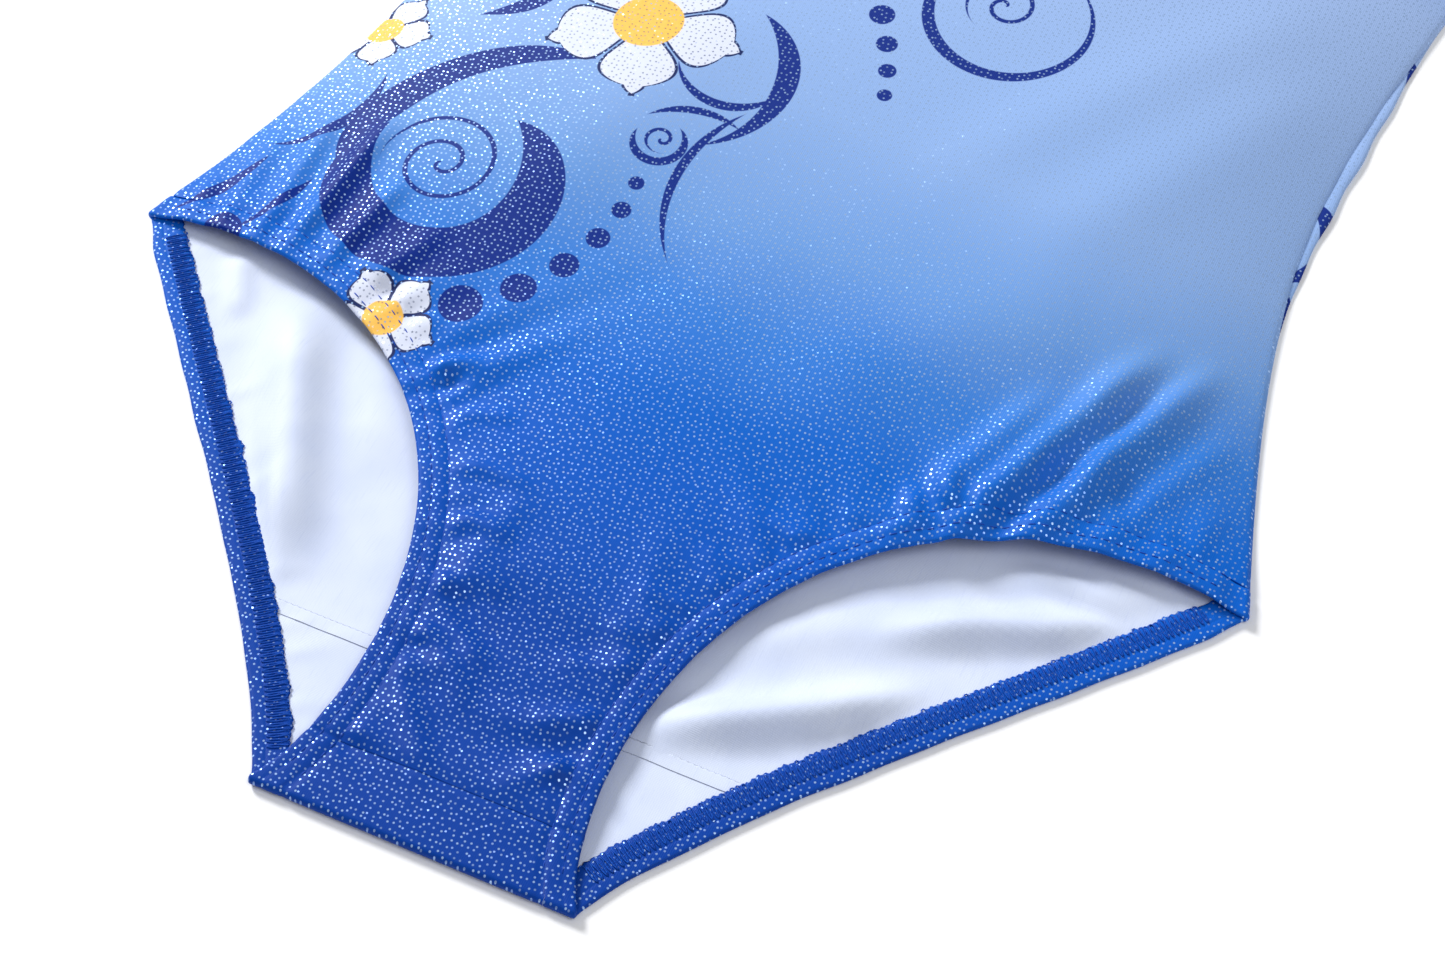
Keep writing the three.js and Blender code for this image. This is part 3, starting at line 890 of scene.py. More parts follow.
@dataclass(frozen=True)
class PrintedKnit:
    """Glossy stretch knit, printed from deep blue up to pale, with a pattern and small foil dots."""

    side: Side
    low_y: float
    length: float
    foil_pitch: float = 1.42
    foil_radius: float = 0.25
    foil_scatter: float = 0.6
    foil_metal: float = 0.55
    facet_lean: float = 0.27
    column_pitch: float = 0.46
    row_pitch: float = 0.34
    navy: Colour = ink(2, 36, 128)
    outline: Colour = ink(30, 44, 96)
    petal_white: Colour = ink(218, 224, 243)
    yolk_deep: Colour = ink(246, 184, 74)
    yolk_light: Colour = ink(252, 204, 108)
    # Foil dot colours with painted reflection: a light glint over the blue ground, and dark over the white
    # petals.
    foil_painted_glint: Colour = ink(176, 208, 252)
    foil_painted_dark_reflection: Colour = ink(96, 112, 150)

    def ramp(self, net: Net, y: Num) -> bpy.types.NodeSocket:
        """The ground colour by height: deep blue at the crotch, pale above the waist."""
        stops = (
            (0, ink(3, 60, 154)),
            (60, ink(3, 66, 163)),
            (100, ink(6, 87, 191)),
            (124, ink(12, 98, 199)),
            (150, ink(55, 122, 208)),
            (176, ink(105, 151, 214)),
            (214, ink(139, 172, 223)),
            (320, ink(158, 184, 229)),
            (430, ink(112, 152, 226)),
            (540, ink(18, 86, 200)),
        )
        node = net.add("ShaderNodeValToRGB", None, {0: y / self.length})
        ramp = node.color_ramp
        ramp.interpolation = "LINEAR"
        for number, (place, colour) in enumerate(stops):
            if number < 2:
                stop = ramp.elements[number]
                stop.position = min(place / self.length, 1)
            else:
                stop = ramp.elements.new(min(place / self.length, 1))
            stop.color = colour
        return node.outputs[0]

    def stroke(self, net: Net, x: Num, y: Num, stroke: Stroke) -> Num:
        """Distance outside a stroke: how far the place is from its circle, less its width there."""
        angle = math.radians(stroke.middle)
        dx, dy = x - stroke.centre[0], y - stroke.centre[1]
        along = dx * math.cos(angle) + dy * math.sin(angle)
        across = dy * math.cos(angle) - dx * math.sin(angle)
        turn = net.math("ARCTAN2", across, along) / math.radians(stroke.sweep / 2)
        radius = (dx * dx + dy * dy) ** 0.5
        width = (1 - abs(turn) ** stroke.power) * (1 + turn * stroke.lean).high(0.1) * stroke.half_width
        return abs(radius - stroke.radius) - width

    def curl(self, net: Net, x: Num, y: Num, curl: Curl) -> Num:
        """Distance outside a curl: how far the place is from the nearest turn, less the line's width."""
        dx, dy = x - curl.centre[0], y - curl.centre[1]
        radius = (dx * dx + dy * dy) ** 0.5
        turn = net.math("ARCTAN2", dy, dx) * (curl.hand / (2 * math.pi)) + curl.turn / 360
        line = abs((radius / curl.step - turn + 10).frac() - 0.5) * curl.step - curl.half_width
        return line.high(radius - curl.reach)

    def flower(self, net: Net, x: Num, y: Num, flower: Flower) -> tuple[Num, Num]:
        """Distances outside a flower's petals and outside its eye.

        A petal runs out from the eye, swells as a sine of its length to a power, and ends in a small point.
        """
        dx, dy = x - flower.centre[0], y - flower.centre[1]
        radius = (dx * dx + dy * dy) ** 0.5
        share = net.math("ARCTAN2", dy, dx) * (flower.petals / (2 * math.pi)) + (flower.turn / 360 + 10)
        angle = (share.frac() - 0.5) * (2 * math.pi / flower.petals)
        along = radius * net.math("COSINE", angle) / flower.radius
        off = abs(radius * angle.sin())
        bulge = (along.low(1).high(0) ** 1.7 * math.pi).sin().high(0) ** 0.8
        point = (flower.tip - along).high(0) * along.high(0) ** 5
        petal = off - (bulge * 0.35 + point * 0.85) * flower.radius
        petal = petal.high((along - flower.tip) * flower.radius)
        return petal, radius - flower.eye * flower.radius

    def build(self, name: str) -> bpy.types.Material:
        """Makes the material.

        Args:
            name: the material's name.

        Returns:
            The new material.
        """
        net = Net(name)
        x, y, _ = net.place_mm()
        y = y - self.low_y
        flat = net.join(x, y, 0.0)
        wander = (net.noise(flat, 0.02, 1) - 0.5) * 18
        sides = (abs(x) / 140) ** 3 * 18 * y.step(230, 150)
        ground = self.ramp(net, y + wander - sides)
        front = self.side is Side.FRONT
        marks: list[Num] = []
        for stroke in FRONT_STROKES if front else BACK_STROKES:
            marks.append(self.stroke(net, x, y, stroke))
        for curl in FRONT_CURLS if front else BACK_CURLS:
            marks.append(self.curl(net, x, y, curl))
        for run in FRONT_DOTS if front else BACK_DOTS:
            marks += [net.apart(flat, (px, py, 0)) - size for px, py, size in run.dots()]
        nearest = marks[0]
        for mark in marks[1:]:
            nearest = nearest.low(mark)
        drawn = nearest.step(0.16, -0.16)
        colour = net.mix(drawn * 0.97, ground, self.navy)
        white = None
        for flower in FRONT_FLOWERS if front else BACK_FLOWERS:
            petal, eye = self.flower(net, x, y, flower)
            colour = net.mix(petal.step(0.95, 0.65), colour, self.outline)
            patch = petal.step(0.12, -0.12)
            colour = net.mix(patch, colour, self.petal_white)
            grain = net.noise(flat, 1.2, 2)
            yolk = net.mix(grain, self.yolk_deep, self.yolk_light)
            colour = net.mix(eye.step(0.35, -0.1), colour, yolk)
            white = patch if white is None else white.high(patch)
        foil = net.add(
            "ShaderNodeTexVoronoi",
            {"voronoi_dimensions": "2D", "feature": "F1"},
            {"Vector": flat, "Scale": 1 / self.foil_pitch, "Randomness": self.foil_scatter},
        )
        dot = Num(net, foil.outputs["Distance"]) * self.foil_pitch
        speck = dot.step(self.foil_radius + 0.04, self.foil_radius - 0.04)
        # Painted reflection in the foil dots: over the blue they take a light blue-white with a random
        # strength per dot, as a painted glint, and over the white petals a dark grey, as painted dark
        # reflection.
        chance, _, _ = net.parts(foil.outputs["Color"])
        painted_glint_dots = net.mix(chance.step(0.1, 1.0) * 0.5 + 0.4, colour, self.foil_painted_glint)
        dark = net.mix(0.5, colour, self.foil_painted_dark_reflection)
        colour = net.mix(speck, colour, net.mix(white, painted_glint_dots, dark))
        lean = net.vector("SUBTRACT", foil.outputs["Color"], (0.5, 0.5, 0.5))
        upright = net.add("ShaderNodeNewGeometry").outputs["Normal"]
        tilted = net.vector("ADD", upright, net.vector("SCALE", lean, self.facet_lean))
        facet = net.vector("NORMALIZE", tilted)
        weave = net.bump(self.knit(x, y), 0.05, 0.35)
        rough = net.noise(flat, 0.5, 2) * 0.08 + 0.42
        return net.finish(
            Base_Color=colour,
            Roughness=rough - speck * 0.14,
            Metallic=speck * self.foil_metal,
            Normal=net.mix(speck, weave, facet, "VECTOR"),
            Specular_IOR_Level=0.1,
        )

    def knit(self, x: Num, y: Num) -> Num:
        """Fine knit: columns of small loops, which lean to and fro row by row."""
        column = (x * (2 * math.pi / self.column_pitch)).sin()
        row = (y * (2 * math.pi / self.row_pitch) + column * 0.8).sin()
        return column * 0.5 + row * 0.5


@dataclass(frozen=True)
class LiningKnit:
    """The white inside of the cloth, with fine lengthwise lines."""

    net_like: float = 0.0
    light: Colour = ink(216, 225, 245)
    shade: Colour = ink(202, 213, 240)
    streak_tone: Colour = ink(184, 196, 230)
    hole_tone: Colour = ink(172, 186, 222)
    column_pitch: float = 0.5
    row_pitch: float = 0.38

    def build(self, name: str) -> bpy.types.Material:
        """Makes the material."""
        net = Net(name)
        x, y, _ = net.place_mm()
        flat = net.join(x, y, 0.0)
        streak = net.noise(net.join(x * 2.2, y * 0.12, 0.0), 1.0, 3)
        soft = net.noise(flat, 0.05, 2).step(0.25, 0.75)
        colour = net.mix(soft * 0.8, self.light, self.shade)
        colour = net.mix(streak.step(0.52, 0.8) * 0.3, colour, self.streak_tone)
        column = (x * (2 * math.pi / self.column_pitch)).sin()
        row = (y * (2 * math.pi / self.row_pitch) + column).sin()
        hole = (column * row).step(0.35, 0.9) * (0.12 + self.net_like)
        colour = net.mix(hole, colour, self.hole_tone)
        normal = net.bump(column * 0.5 + row * 0.5, 0.05, 0.3)
        return net.finish(
            Base_Color=colour,
            Roughness=streak * 0.1 + 0.55,
            Normal=normal,
            Specular_IOR_Level=0.35,
            Sheen_Weight=0.1,
        )


@dataclass(frozen=True)
class Thread:
    """Textured sewing thread, with a fine slanting twist."""

    dark: Colour
    light: Colour
    pitch: float = 0.35

    def build(self, name: str) -> bpy.types.Material:
        """Makes the material."""
        net = Net(name)
        x, y, z = net.place_mm()
        twist = ((x + y * 0.7 + z) * (2 * math.pi / self.pitch)).sin() * 0.5 + 0.5
        tone = net.noise(net.join(x, y, z), 0.6, 2)
        # The twist's raised strands are lighter and its grooves darker, as painted shade, mixed half and half
        # with random tone from the noise.
        colour = net.mix((twist * 0.5 + tone * 0.5).step(0.2, 0.85), self.dark, self.light)
        return net.finish(
            Base_Color=colour,
            Roughness=tone * 0.15 + 0.45,
            Normal=net.bump(twist, 0.06, 0.4),
            Specular_IOR_Level=0.2,
        )


@dataclass(frozen=True)
class SatinLabel:
    """A plain woven satin care label, with a few blank lines and no lettering."""

    centre: tuple[float, float]
    line_pitch: float = 3.2
    satin: Colour = ink(240, 241, 244)
    line_tone: Colour = ink(128, 134, 150)

    def build(self, name: str) -> bpy.types.Material:
        """Makes the material."""
        net = Net(name)
        x, y, _ = net.place_mm()
        weave = (x * 14).sin() * (y * 9).sin()
        lines = abs(((y - self.centre[1]) / self.line_pitch).frac() - 0.5).step(0.42, 0.48)
        within = abs(x - self.centre[0]).step(9.5, 9.0) * abs(y - self.centre[1]).step(7.5, 7.0)
        colour = net.mix(lines * within * 0.7, self.satin, self.line_tone)
        return net.finish(Base_Color=colour, Roughness=weave * 0.05 + 0.35, Normal=net.bump(weave, 0.03, 0.3))


@dataclass(frozen=True)
class Paper:
    """The plain pale sweep that the piece lies on."""

    def build(self, name: str) -> bpy.types.Material:
        """Makes the material."""
        net = Net(name)
        tone = net.noise(net.object_place(), 3.0, 2)
        colour = net.mix(tone, ink(250, 250, 251), ink(252, 252, 253))
        return net.finish(Base_Color=colour, Roughness=0.75, Specular_IOR_Level=0.2)


@dataclass(frozen=True)
class Finishes:
    """Every material, made once."""

    front: bpy.types.Material
    back: bpy.types.Material
    lining: bpy.types.Material
    gusset_lining: bpy.types.Material
    thread: bpy.types.Material
    stitch: bpy.types.Material
    white_thread: bpy.types.Material
    label: bpy.types.Material
    paper: bpy.types.Material


def make_finishes(low_y: float, length: float) -> Finishes:
    """Makes the materials."""
    return Finishes(
        PrintedKnit(Side.FRONT, low_y, length).build("printed_knit_front"),
        PrintedKnit(Side.BACK, low_y, length).build("printed_knit_back"),
        LiningKnit().build("white_inside"),
        LiningKnit(0.25).build("white_mesh_lining"),
        Thread(ink(4, 50, 144), ink(22, 98, 208)).build("blue_overlock_thread"),
        Thread(ink(12, 54, 156), ink(30, 88, 196)).build("blue_topstitch_thread"),
        Thread(ink(196, 206, 232), ink(232, 237, 250)).build("white_overlock_thread"),
        SatinLabel((103, 195)).build("satin_label"),
        Paper().build("pale_paper"),
    )


# ---------------------------------------------------------------- sheets


def dress(piece: bpy.types.Object, slot: str, nodes: Sequence[str], *materials: bpy.types.Material) -> None:
    """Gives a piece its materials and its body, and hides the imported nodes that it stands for."""
    for material in materials:
        piece.data.materials.append(material)
    if piece.modifiers:
        settle(piece)
    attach(piece, "root")
    if nodes:
        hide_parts(*nodes)
    LOG.info("%s: %d faces", piece.name, len(piece.data.polygons))


@dataclass
class Panels:
    """The printed front and back, each one sheet from crotch seam to shoulders."""

    cut: Cut
    drape: Drape
    finishes: Finishes
    low_y: float
    tuck: float = HEM_TUCK
    fine: float = 1.6
    coarse: float = 2.7
    split: float = 330.0
    spacing: float = 1.3

    def loop(self, leg: Array, depth: float, seam: float) -> Array:
        """The sheet's outline: the panel's outline with every hemmed edge drawn in under its hem.

        Each hemmed edge is moved square to itself, and the ends that pass another edge are dropped.
        """
        cut = self.cut
        closed = cut.outline(leg, depth)
        hems = [leg, cut.armhole(), cut.neck(depth)]
        fields = [EdgeField(edge) for edge in hems]
        parts = []
        lines = [leg, cut.side(), cut.armhole(), cut.shoulder(), cut.neck(depth)]
        for line in lines:
            even = evenly(line, self.spacing)
            hemmed = any(line is hem or np.array_equal(line, hem) for hem in hems)
            moved = even + left_of(even) * self.tuck if hemmed else even
            off = np.min([field.at(moved[:, 0], moved[:, 1])[0] for field in fields], axis=0)
            within = inside(moved, closed) if hemmed else np.ones(len(moved), bool)
            keep = (off > self.tuck - 0.05) & within & (moved[:, 0] > 0.4) & (moved[:, 1] > seam)
            parts.append(moved[keep])
        start = parts[0][0][0]
        across = np.linspace(0, start, max(3, round(start / self.spacing)))[1:]
        base = np.stack([across, np.full(len(across), seam)], 1)
        half = np.vstack([base, *parts])
        low = np.array([[0, seam]])
        top = np.array([[0, parts[4][-1][1]]])
        return np.vstack([low, half, top, mirror(half)[::-1]])

    def rings(self) -> Array:
        """Extra points just inside the side and shoulder seams, where the front turns down."""
        rows = []
        for line in (self.cut.side(), self.cut.shoulder()):
            even = evenly(line, 1.4)
            rows += [even + left_of(even) * off for off in (0.12, 0.4, 0.8, 1.25)]
        half = np.vstack(rows)
        return np.vstack([half, mirror(half)])

    def build(self) -> tuple[bpy.types.Object, bpy.types.Object]:
        """Makes the front and the back.

        Returns:
            The two sheets.
        """
        cut, drape = self.cut, self.drape
        loop = self.loop(cut.front_leg(), cut.front_neck_depth, cut.front_crotch_seam)
        plan, faces = panel_mesh(loop, self.fine, self.coarse, self.split, self.rings())
        height = drape.sheet_top(plan[:, 0], plan[:, 1])
        front = write_mesh("front_cloth", np.column_stack([plan, height]), faces, self.low_y)
        solidify(front, drape.cloth, 1)
        dress(front, "printed_knit", ["front_panel"], self.finishes.front, self.finishes.lining)
        loop = self.loop(cut.back_leg(), cut.back_neck_depth, cut.back_crotch_seam)
        loop[:, 0] -= 0.5 * np.sign(loop[:, 0]) * (np.abs(loop[:, 0]) > 0.9 * cut.waist_width / 2)
        plan, faces = panel_mesh(loop, self.fine + 0.3, self.coarse, self.split, None)
        height = drape.table_side(plan[:, 0], plan[:, 1]) - drape.cloth
        back = write_mesh("back_cloth", np.column_stack([plan, height]), faces[:, ::-1], self.low_y)
        solidify(back, drape.cloth, 1, 1)
        dress(back, "printed_knit", ["back_panel"], self.finishes.back, self.finishes.lining)
        return front, back


@dataclass
class Gusset:
    """The crotch piece, from the front seam round the fold to the back seam, and its lining."""

    cut: Cut
    drape: Drape
    finishes: Finishes
    low_y: float
    columns: int = 61
    step: float = 0.8
    tuck: float = HEM_TUCK
    lining_half: float = 29.0
    lining_length: float = 97.0

    def build(self) -> tuple[bpy.types.Object, bpy.types.Object]:
        """Makes the gusset and its lining.

        Rows follow the front down to the fold, a half turn round it, and the back up to the seam. At the
        fold the turn's radius is half the cloth's height there.

        Returns:
            The gusset and the lining.
        """
        cut, drape = self.cut, self.drape
        fold = 1.4
        down = np.arange(cut.front_crotch_seam + 2.4, fold, -self.step)
        turn = np.linspace(0, math.pi, 12)
        up = np.arange(fold + self.step, cut.back_crotch_seam + 0.4, self.step)
        front_leg, back_leg = cut.front_leg(), cut.back_leg()
        half_down = np.interp(down, front_leg[:, 1], front_leg[:, 0])
        half_up = np.interp(up, back_leg[:, 1], back_leg[:, 0])
        half_turn = np.full(len(turn), cut.fold_width / 2 - 0.4)
        half = np.r_[half_down, half_turn, half_up] - self.tuck
        plan_y = np.r_[down, np.full(len(turn), fold), up]
        v = np.linspace(-1, 1, self.columns)[None, :]
        x = half[:, None] * v
        y = np.broadcast_to(plan_y[:, None], x.shape).copy()
        top = drape.top(x, y)
        z = top.copy()
        rows = np.arange(len(plan_y))
        turning = (rows >= len(down)) & (rows < len(down) + len(turn))
        radius = top[turning] / 2
        z[turning] = radius * (1 + np.cos(turn)[:, None])
        y[turning] = fold - np.minimum(radius, fold) * np.sin(turn)[:, None]
        after = rows >= len(down) + len(turn)
        z[after] = drape.table_side(x[after], y[after]) - drape.cloth
        sunk = 0.18 * smooth(y, 3, 12) + 0.3 * (y > cut.front_crotch_seam)
        z -= (rows < len(down))[:, None] * sunk
        points = column_points(x, y, z)
        faces = grid_faces(*x.shape)[:, ::-1]
        gusset = write_mesh("gusset_cloth", points, faces, self.low_y)
        solidify(gusset, drape.cloth, 1, 1)
        dress(gusset, "printed_knit", ["crotch_gusset"], self.finishes.front, self.finishes.gusset_lining)
        ly = np.linspace(14.5, 14.5 + self.lining_length, 90)[:, None]
        lx = np.linspace(-1, 1, 61)[None, :] * np.minimum(self.lining_half, 20 + (ly - 14) * 0.6)
        ly = np.broadcast_to(ly, lx.shape)
        lz = drape.table_side(lx, ly) + 0.35
        points = column_points(lx, ly, lz)
        lining = write_mesh("lining_cloth", points, grid_faces(*lx.shape), self.low_y)
        solidify(lining, 0.3, 0)
        dress(lining, "lining_knit", ["crotch_lining"], self.finishes.gusset_lining)
        return gusset, lining


# ---------------------------------------------------------------- hems


@dataclass
class Hem:
    """An elastic hem round one opening: the cloth turned in over the elastic, and overlocked inside.

    The band runs along the front edge, folds over where the front meets the back, and comes back along
    the back edge with its outside down.
    """

    name: str
    node: str
    front_edge: Array
    back_edge: Array
    start_side: tuple[float, float]
    end_side: tuple[float, float]
    seed: int
    drape: Drape
    finishes: Finishes
    low_y: float
    step: float = 0.42
    bend: float = 0.7
    half: float = 0.65
    rib: float = 1.5

    def frames(self) -> dict[str, Array]:
        """The path's points, with the direction into the cloth, the way out at each fold, and the turn."""
        start, end = (np.array(side, float) / np.hypot(*side) for side in (self.start_side, self.end_side))
        out_start, out_end = np.array([-start[1], start[0]]), np.array([end[1], -end[0]])
        if (self.front_edge[0] - self.front_edge[40]) @ out_start < 0:
            out_start = -out_start
        if (self.front_edge[-1] - self.front_edge[-40]) @ out_end < 0:
            out_end = -out_end
        reach = self.bend + self.half
        rows = []
        for edge, back in ((self.front_edge, False), (self.back_edge, True)):
            even = evenly(edge, self.step)
            run = run_of(even)
            near_start, near_end = 1 - smooth(run, 0, 17), 1 - smooth(run[-1] - run, 0, 17)
            into = left_of(even) * (1 - near_start - near_end)[:, None]
            into = into + start * near_start[:, None] + end * near_end[:, None]
            into /= np.linalg.norm(into, axis=1, keepdims=True)
            short = [1 - smooth(gap, 0, 12) for gap in (run, run[-1] - run)]
            moved = even - out_start * (reach * short[0])[:, None] - out_end * (reach * short[1])[:, None]
            held = np.maximum(1 - smooth(run, 0, 9), 1 - smooth(run[-1] - run, 0, 9))
            rows.append((moved, into, held, run, back))
        turns = np.linspace(0, math.pi, 14)[1:-1]
        front, rear = rows
        stack = [
            (front[0], front[1], np.zeros_like(front[0]), np.zeros(len(front[0])), front[2], front[3]),
            (
                np.repeat(front[0][-1:], len(turns), 0),
                np.repeat(end[None], len(turns), 0),
                np.repeat(out_end[None], len(turns), 0),
                turns,
                np.ones(len(turns)),
                np.full(len(turns), front[3][-1]),
            ),
            (
                rear[0][::-1],
                rear[1][::-1],
                np.zeros_like(rear[0]),
                np.full(len(rear[0]), math.pi),
                rear[2][::-1],
                front[3][-1] + rear[3][-1] - rear[3][::-1],
            ),
            (
                np.repeat(front[0][:1], len(turns), 0),
                np.repeat(start[None], len(turns), 0),
                np.repeat(-out_start[None], len(turns), 0),
                turns + math.pi,
                np.ones(len(turns)),
                np.full(len(turns), front[3][-1] + rear[3][-1]),
            ),
        ]
        names = ("place", "into", "out", "turn", "held", "run")
        return {key: np.concatenate([part[number] for part in stack]) for number, key in enumerate(names)}

    def profile(self) -> tuple[Array, Array, Array]:
        """The band's cross-section: how far in, how high on the outside, and whether it shows thread."""
        h = self.half
        round_edge = np.linspace(math.pi / 2, -math.pi / 2, 7)
        outer = np.array([8.3, 7.9, 7.5, 7.15, 6.75, 5.6, 4.3, 3.35, 3.0, 2.65, 1.8, 1.1])
        lift = np.array([-0.35, 0.1, h - 0.2, h - 0.06, h, h, h, h, h - 0.08, h, h, h])
        inner = np.array([1.2, 2.2, 2.9, 3.1, 3.3, 4.0, 4.8, 5.6, 6.4, 7.2, 7.8, 8.2])
        drop = np.array([-h, -h, -h, -h + 0.06, -h, -h, -h, -h, -h, -h, -h + 0.1, -0.42])
        far = np.r_[outer, h - h * np.cos(round_edge), inner]
        high = np.r_[lift, h * np.sin(round_edge), drop]
        thread = np.r_[np.zeros(len(outer) + len(round_edge) + 4), np.ones(len(inner) - 4)]
        return far, high, thread

    def build(self) -> bpy.types.Object:
        """Makes the band.

        A point is the path's point, moved into the cloth by its distance from the edge, and turned round
        the fold by the path's turn. The overlock's thread ribs the inside and scallops its free edge.

        Returns:
            The band.
        """
        frames = self.frames()
        far, high, thread = self.profile()
        run = frames["run"][:, None]
        wave = ripple(run, 14, 5, self.seed)
        far_all = np.broadcast_to(far[None], (len(run), len(far))).copy()
        high_all = np.broadcast_to(high[None], far_all.shape).copy()
        rib = 0.5 + 0.5 * np.cos(2 * math.pi * run / self.rib + 0.5 * ripple(run, 12, 4, self.seed + 3))
        zone = thread[None] * smooth(far_all, 3.1, 3.8)
        high_all -= zone * 0.06 * rib * (far_all < 8.1)
        free = thread[None] * smooth(far_all, 6.6, 8.2)
        far_all += free * (0.5 * rib + 0.35 * wave)
        behind = (frames["turn"] > 0.1)[:, None] * (1 - frames["held"][:, None])
        far_all += (0.04 + 0.14 * behind) * ripple(run, 44, 17, self.seed + 9)
        into = frames["into"]
        plan_x = frames["place"][:, None, 0] + far_all * into[:, None, 0]
        plan_y = frames["place"][:, None, 1] + far_all * into[:, None, 1]
        turn = frames["turn"][:, None]
        reach = self.bend + high_all
        x = plan_x + reach * np.sin(turn) * frames["out"][:, None, 0]
        y = plan_y + reach * np.sin(turn) * frames["out"][:, None, 1]
        thick = self.bend + self.half
        front = (frames["turn"] == 0)[:, None]
        free_height = self.drape.top(plan_x, plan_y) - thick
        level = np.where(front, free_height, thick)
        held = frames["held"][:, None]
        level = level * (1 - held) + thick * held
        z = level + reach * np.cos(turn)
        points = column_points(x, y, z)
        faces = grid_faces(*x.shape, wrap_rows=True, wrap_columns=True)
        if volume(points, faces) < 0:
            faces = faces[:, ::-1]
        band = write_mesh(self.name, points, faces, self.low_y)
        dress(band, "printed_knit", [self.node], self.finishes.front)
        return band


def volume(points: Array, faces: Array) -> float:
    """The volume inside a closed mesh: the sum of its faces' signed cones to the origin."""
    a, b, c, d = (points[faces[:, corner]] for corner in range(4))
    return float((np.cross(a, b) * c).sum() + (np.cross(a, c) * d).sum()) / 6


def tube(path: Array, radius: float, sides: int = 5) -> tuple[Array, Array]:
    """A closed tube along a line, with flat ends.

    The ring at each point is laid on two directions square to the line, one of them level.

    Args:
        path: the line's points.
        radius: the tube's radius.
        sides: corners round it.

    Returns:
        The points and the quads.
    """
    along = np.gradient(path, axis=0)
    along /= np.linalg.norm(along, axis=1, keepdims=True)
    level = np.cross(along, [0, 0, 1.0])
    level /= np.maximum(np.linalg.norm(level, axis=1, keepdims=True), 1e-6)
    up = np.cross(level, along)
    angle = np.arange(sides) * 2 * math.pi / sides
    ring = level[:, None] * np.cos(angle)[None, :, None] + up[:, None] * np.sin(angle)[None, :, None]
    size = np.full((len(path), 1, 1), radius)
    size[[0, -1]] = radius * 0.02
    points = (path[:, None] + ring * size).reshape(-1, 3)
    return points, grid_faces(len(path), sides, wrap_columns=True)


def cap_ends(faces: Array, rows: int, sides: int) -> list:
    """The tube's quads with a face over each end."""
    first = list(range(sides))[::-1]
    last = list(range((rows - 1) * sides, rows * sides))
    return faces.tolist() + [first, last]


@dataclass
class Overlock:
    """The overlock's thread on the inside of a back hem: one thread looped to and fro across the band."""

    name: str
    edge: Array
    drape: Drape
    finishes: Finishes
    low_y: float
    seed: int
    pitch: float = 1.25
    near: float = 3.3
    width: float = 5.1
    radius: float = 0.2

    def build(self) -> bpy.types.Object:
        """Makes the thread.

        Across the band the thread swings between its two edges as a flattened cosine, and on the free edge
        it leans forward and back, which opens a small loop at each turn.

        Returns:
            The thread.
        """
        run_end = run_of(self.edge)[-1]
        run = np.arange(8, run_end - 8, 0.085)
        edge = evenly(self.edge, 0.4)
        line = run_of(edge)
        phase = 2 * math.pi * run / self.pitch
        swing = 0.5 - 0.5 * np.cos(phase)
        loop = 0.42 * np.sin(2 * phase) * swing
        at = run + loop
        x, y = (np.interp(at, line, edge[:, axis]) for axis in (0, 1))
        into = left_of(edge)
        into = np.stack([np.interp(at, line, into[:, axis]) for axis in (0, 1)], 1)
        wave = ripple(run, 14, 5, self.seed)
        uneven = 0.3 * wave + 0.25 * ripple(run, 3.1, 1.7, self.seed + 1)
        far = self.near + (self.width + uneven) * swing
        z = 1.44 - 0.4 * smooth(far, 7.4, 8.6) + 0.06 * np.sin(phase * 0.5)
        path = np.stack([x + far * into[:, 0], y + far * into[:, 1], z], 1)
        points, faces = tube(path, self.radius, 4)
        piece = write_mesh(self.name, points, cap_ends(faces, len(path), 4), self.low_y)
        dress(piece, "thread", [], self.finishes.thread)
        return piece


@dataclass
class Topstitch:
    """Two rows of straight stitches along the front of a hem."""

    name: str
    node: str
    edge: Array
    drape: Drape
    finishes: Finishes
    low_y: float
    pitch: float = 2.7
    length: float = 2.0
    rows: tuple[float, float] = (3.0, 7.0)
    radius: float = 0.15

    def build(self) -> bpy.types.Object:
        """Makes the stitches.

        Each stitch is a short tube that dips into the cloth at both ends.

        Returns:
            The stitches, as one piece.
        """
        even = evenly(self.edge, 0.5)
        line, into = run_of(even), left_of(even)
        across = np.linspace(-0.5, 0.5, 6)
        points, sides = [], 6
        for row, far in enumerate(self.rows):
            middle = np.arange(10 + row * 0.9, line[-1] - 9, self.pitch)
            at = middle[:, None] + across[None] * self.length
            x, y = (np.interp(at, line, even[:, axis] + into[:, axis] * far) for axis in (0, 1))
            dip = (2 * across[None]) ** 4
            z = self.drape.top(x, y) + 0.02 - 0.24 * dip
            path = np.stack([x, y, z], 2)
            along = path[:, -1] - path[:, 0]
            along /= np.linalg.norm(along, axis=1, keepdims=True)
            level = np.cross(along, [0, 0, 1.0])
            up = np.cross(level, along)
            angle = np.arange(sides) * 2 * math.pi / sides
            ring = level[:, None] * np.cos(angle)[None, :, None] + up[:, None] * np.sin(angle)[None, :, None]
            size = self.radius * np.array([0.35, 0.85, 1, 1, 0.85, 0.35])
            points.append((path[:, :, None] + ring[:, None] * size[None, :, None, None]).reshape(-1, 3))
        every = np.vstack(points)
        count = len(every) // (6 * sides)
        one = np.array(grid_faces(6, sides, wrap_columns=True))
        quads = (one[None] + (np.arange(count) * 6 * sides)[:, None, None]).reshape(-1, 4)
        starts = np.arange(count) * 6 * sides
        first = (starts[:, None] + np.arange(sides)[None, ::-1]).tolist()
        last = (starts[:, None] + 5 * sides + np.arange(sides)[None]).tolist()
        piece = write_mesh(self.name, every, quads.tolist() + first + last, self.low_y)
        dress(piece, "thread", [self.node], self.finishes.stitch)
        return piece


